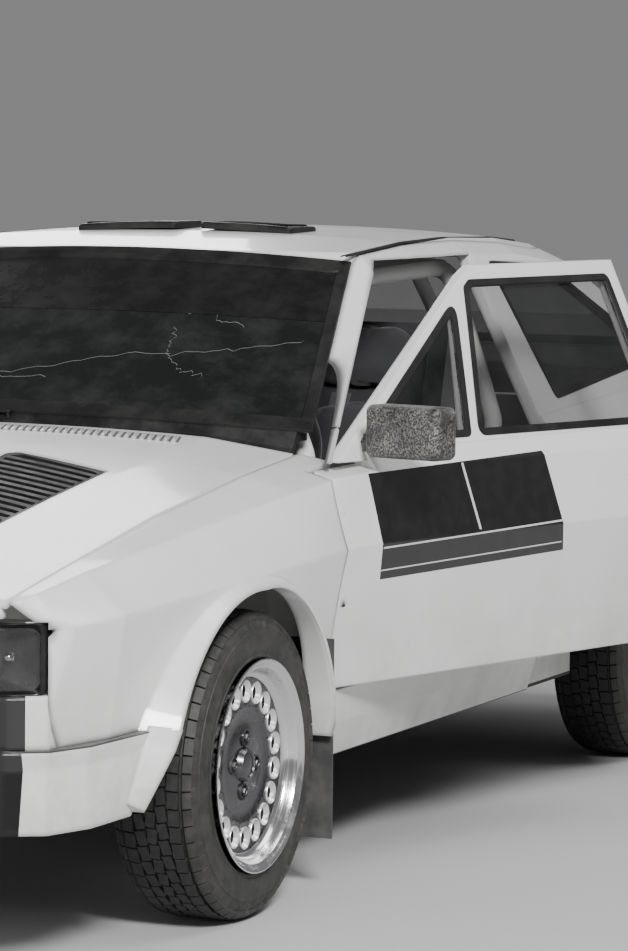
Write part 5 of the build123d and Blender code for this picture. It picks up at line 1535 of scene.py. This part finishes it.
def strap(path, width, across, thick=0.003):
    """A flat webbing strap along a path: a box section whose width lies along across."""
    path, across = fine_path(np.array(path, float)), np.array(across, float)
    ahead = np.gradient(path, axis=0)
    ahead /= np.linalg.norm(ahead, axis=1)[:, None]
    side = across[None] - ahead * (ahead @ across)[:, None]
    side /= np.linalg.norm(side, axis=1)[:, None]
    up = np.cross(ahead, side)
    rows = [path + side * width / 2 * a + up * thick / 2 * b for a, b in ((1, 1), (-1, 1), (-1, -1), (1, -1))]
    ends = [cap_faces(0, 4), cap_faces((len(path) - 1) * 4, 4)[:, ::-1]]
    return np.stack(rows, axis=1), np.concatenate([grid_faces(len(path), 4, wrap_columns=True), *ends])


def fine_path(path, steps=8):
    """A smooth line through a few points: Catmull-Rom pieces between them, each the cubic in t that passes
    b and c with half the slopes c - a and d - b."""
    padded = np.concatenate([path[:1] * 2 - path[1:2], path, path[-1:] * 2 - path[-2:-1]])
    t = np.linspace(0, 1, steps, endpoint=False)[:, None]
    out = []
    for a, b, c, d in zip(padded, padded[1:], padded[2:], padded[3:]):
        square, cube = 2 * a - 5 * b + 4 * c - d, 3 * b - a - 3 * c + d
        out.append(0.5 * (2 * b + (c - a) * t + square * t ** 2 + cube * t ** 3))
    return np.concatenate(out + [path[-1:]])


# Harness straps of the left seat's left half: name, the way the webbing's width lies, and its path from the
# bar or floor, with y off the seat's middle
STRAP_WIDTH = 0.050
STRAPS = [
    ("shoulder", (0, 1, 0), [
        (-0.568, 0.060, 0.803), (-0.500, 0.058, 0.965), (-0.395, 0.056, 0.975), (-0.318, 0.054, 0.860),
        (-0.262, 0.050, 0.660), (-0.190, 0.030, 0.520)]),
    ("lap", (0.5, 0, 0.85), [
        (-0.250, 0.162, 0.420), (-0.190, 0.120, 0.505), (-0.155, 0.060, 0.512), (-0.150, 0.015, 0.510)]),
]


class MESH_OT_rally_cabin(bpy.types.Operator):
    """Builds the seats' pads and the harnesses"""

    bl_idname = "mesh.rally_cabin"
    bl_label = "Seats and Harnesses"

    def execute(self, context):
        cloth = cloth_finish("pad_cloth", hue("fabric"), 1900.0)
        webbing = cloth_finish("harness_webbing", (0.045, 0.045, 0.05), 3200.0)
        seats = (("left", 1), ("right", -1))
        for label, length, width, thick, middle_x, off_y, up_z, pitch in PADS:
            source = settled("pad_source", pillow(length, width, thick))
            places = seamed(vertex_places(source.data), length, width, thick)
            faces = quads(source.data)
            bpy.data.objects.remove(source)
            for seat, side in seats:
                part = pad_places(places, middle_x, off_y, up_z, math.radians(pitch), side), faces
                pad = new_piece(f"{seat}_seat_{label}", part, cloth, "chassis", sharp=60)
                smooth = pad.modifiers.new("smooth", "SUBSURF")
                smooth.levels = smooth.render_levels = 1
        for label, across, path in STRAPS:
            for half, turn in (("left", 1), ("right", -1)):
                for seat, side in seats:
                    placed = np.array(path) * (1, turn, 1) + (0, SEAT_Y * side, 0)
                    part = strap(placed, STRAP_WIDTH, across)
                    new_piece(f"{seat}_seat_{half}_{label}_strap", part, webbing, "chassis",
                              sharp=30, outward=True)
        return {"FINISHED"}


# CAD pieces

class MESH_OT_rally_panels(bpy.types.Operator):
    """Gives every CAD piece its finish"""

    bl_idname = "mesh.rally_panels"
    bl_label = "Panels and Trim"

    def execute(self, context):
        white = paint_finish("white_paint")
        black = trim_finish("black_plastic", hue("plastic"), 0.45)
        satin = trim_finish("satin_black", (0.012, 0.012, 0.012), 0.38)
        cast = metal_finish("cast_metal", (0.22, 0.22, 0.23), 0.55, 0.8)
        finishes = {
            "white_paint": white, "black_plastic": black, "black_paint": satin,
            "clear_glass": glass_finish("side_glass"), "cast_metal": cast,
            "red_lens": tail_finish("red_lens"),
            "flap_rubber": trim_finish("flap_rubber", (0.055, 0.055, 0.055), 0.6, dusty=0.3),
            "bare_steel": metal_finish("bare_steel", (0.40, 0.39, 0.38), 0.42),
            "white_tube": trim_finish("cage_paint", (0.70, 0.70, 0.69), 0.35, dusty=0.05),
            "seat_fabric": cloth_finish("seat_shell_cloth", hue("fabric")),
        }
        speckled = speckled_finish("mirror_housing")
        special = {
            "left_door": paint_finish("left_door_paint", 1, edge=0.007),
            "right_door": paint_finish("right_door_paint", -1, edge=0.007),
            # joint paints the bumper's top lip near-black, a painted shade of its gap to the wing
            "front_bumper": paint_finish("bumper_paint", black=(NOSE_BLACK_Y, 2.05), joint=BUMPER_JOINT_Z),
            "nose_panel": paint_finish("nose_paint", black=(NOSE_BLACK_Y, 1.0)),
            # The windscreen is near-black glass that lets little through: painted shade of the cabin behind it
            "windscreen": glass_finish("windscreen_glass", alpha=0.88, dusty=0.02),
            "floor_pan": sill_finish("sill_paint"), "left_mirror": speckled, "right_mirror": speckled,
            "dashboard": trim_finish("dashboard_skin", (0.010, 0.010, 0.010), 0.7, grain=900.0),
            "steering_wheel": cloth_finish("wheel_suede", (0.010, 0.010, 0.010), 2600.0),
        }
        for row in frame["record"]["subparts"]:
            node, slot = row["node"], row["material_slot"]
            if node in special:
                dress(node, special[node])
            elif slot in finishes:
                dress(node, finishes[slot])
        return {"FINISHED"}


# Floor, lights and camera

def camera_matrix():
    """The camera's place and its axes: right, up and back, from yaw, pitch and roll."""
    level_share = math.cos(CAMERA_PITCH)
    ahead = Vector((level_share * math.cos(CAMERA_YAW), level_share * math.sin(CAMERA_YAW),
                    math.sin(CAMERA_PITCH)))
    level = ahead.cross(Vector((0, 0, 1))).normalized()
    upright = level.cross(ahead)
    right = math.cos(CAMERA_ROLL) * level + math.sin(CAMERA_ROLL) * upright
    up = math.cos(CAMERA_ROLL) * upright - math.sin(CAMERA_ROLL) * level
    matrix = Matrix((right, up, -ahead)).transposed().to_4x4()
    matrix.translation = CAMERA_PLACE
    return matrix


# The floor's half width and its drop below the wheels, the sky's grey and strength, and how far the camera
# sees
FLOOR_HALF, FLOOR_DROP = 30, 0.0005
SKY_GREY, SKY_STRENGTH = (0.62, 0.62, 0.63, 1), 0.38
CAMERA_FAR = 200
# Lights: name, place, width, watts; each one faces the point at the car's middle
LIGHT_TARGET = (0, 0, 0.6)
LIGHTS = [
    ("key_light", (7.5, 5.5, 6.0), 1.8, 1250),
    ("front_light", (10.0, -4.0, 3.5), 5.0, 260),
    ("top_light", (-2.0, 4.5, 7.5), 5.0, 300),
    ("back_light", (-8.0, -6.0, 4.5), 5.0, 420),
]


class MESH_OT_rally_stage(bpy.types.Operator):
    """Lays the floor, sets the lights and places the camera"""

    bl_idname = "mesh.rally_stage"
    bl_label = "Floor, Lights and Camera"

    def execute(self, context):
        scene = context.scene
        floor = Finish("studio_floor", (0.50, 0.50, 0.50), 0.75)
        floor.paint_with(floor.blend(floor.noise(1.2, 5.0), (0.47, 0.47, 0.47), (0.53, 0.53, 0.53)),
                         height=floor.noise(60.0, 6.0), strength=0.15, distance=0.002)
        line = np.linspace(-FLOOR_HALF, FLOOR_HALF, 3)
        x, y = np.meshgrid(line, line)
        points = np.stack([x, y, 0 * x - FLOOR_DROP], axis=-1)
        mesh = mesh_of("floor", (points, grid_faces(3, 3)[:, ::-1]))
        mesh.materials.append(floor.material)
        put_in_scene("floor", mesh)
        world = bpy.data.worlds.new("soft_sky")
        world.use_nodes = True
        sky = world.node_tree.nodes["Background"]
        sky.inputs["Color"].default_value = SKY_GREY
        sky.inputs["Strength"].default_value = SKY_STRENGTH
        scene.world = world
        for name, place, width, watts in LIGHTS:
            light = bpy.data.lights.new(name, "AREA")
            light.size, light.energy = width, watts
            lamp = put_in_scene(name, light)
            lamp.location = place
            aim = Vector(LIGHT_TARGET) - Vector(place)
            lamp.rotation_euler = aim.to_track_quat("-Z", "Y").to_euler()
        view = bpy.data.cameras.new("photo_camera")
        view.sensor_width = SENSOR_WIDTH
        view.lens = FOCAL_PIXELS / max(IMAGE_SIZE) * SENSOR_WIDTH
        view.clip_end = CAMERA_FAR
        scene.camera = put_in_scene("photo_camera", view)
        scene.camera.matrix_world = camera_matrix()
        return {"FINISHED"}


class VIEW3D_PT_rally_car(bpy.types.Panel):
    """Lists the car's pieces"""

    bl_label = "Rally Car"
    bl_space_type = "VIEW_3D"
    bl_region_type = "UI"
    bl_category = "Rally Car"

    def draw(self, context):
        for name, _ in GROUPS:
            box = self.layout.box()
            group = settings(name)
            for key in group.__annotations__:
                box.prop(group, key)
        for operator in OPERATORS:
            self.layout.operator(operator.bl_idname)


GROUPS = (("paint", PaintSettings), ("tyre", TyreSettings), ("wheel", WheelSettings), ("seal", SealSettings))
OPERATORS = (
    MESH_OT_rally_stage, MESH_OT_rally_panels, MESH_OT_rally_tyres, MESH_OT_rally_rims,
    MESH_OT_rally_seals, MESH_OT_rally_roof, MESH_OT_rally_bonnet, MESH_OT_rally_lamps,
    MESH_OT_rally_vents, MESH_OT_rally_glass_marks, MESH_OT_rally_cabin, MESH_OT_rally_flares,
)


def register():
    """Registers the settings, operators and panel."""
    for name, group in GROUPS:
        bpy.utils.register_class(group)
        setattr(bpy.types.Scene, "rally_" + name, bpy.props.PointerProperty(type=group))
    for operator in OPERATORS:
        bpy.utils.register_class(operator)
    bpy.utils.register_class(VIEW3D_PT_rally_car)


def unregister():
    """Takes them out again."""
    bpy.utils.unregister_class(VIEW3D_PT_rally_car)
    for operator in reversed(OPERATORS):
        bpy.utils.unregister_class(operator)
    for name, group in reversed(GROUPS):
        delattr(bpy.types.Scene, "rally_" + name)
        bpy.utils.unregister_class(group)


def main():
    """Builds every piece in order."""
    register()
    for operator in OPERATORS:
        group, name = operator.bl_idname.split(".")
        getattr(getattr(bpy.ops, group), name)()
    bpy.context.view_layer.update()


if __name__ == "__main__":
    main()
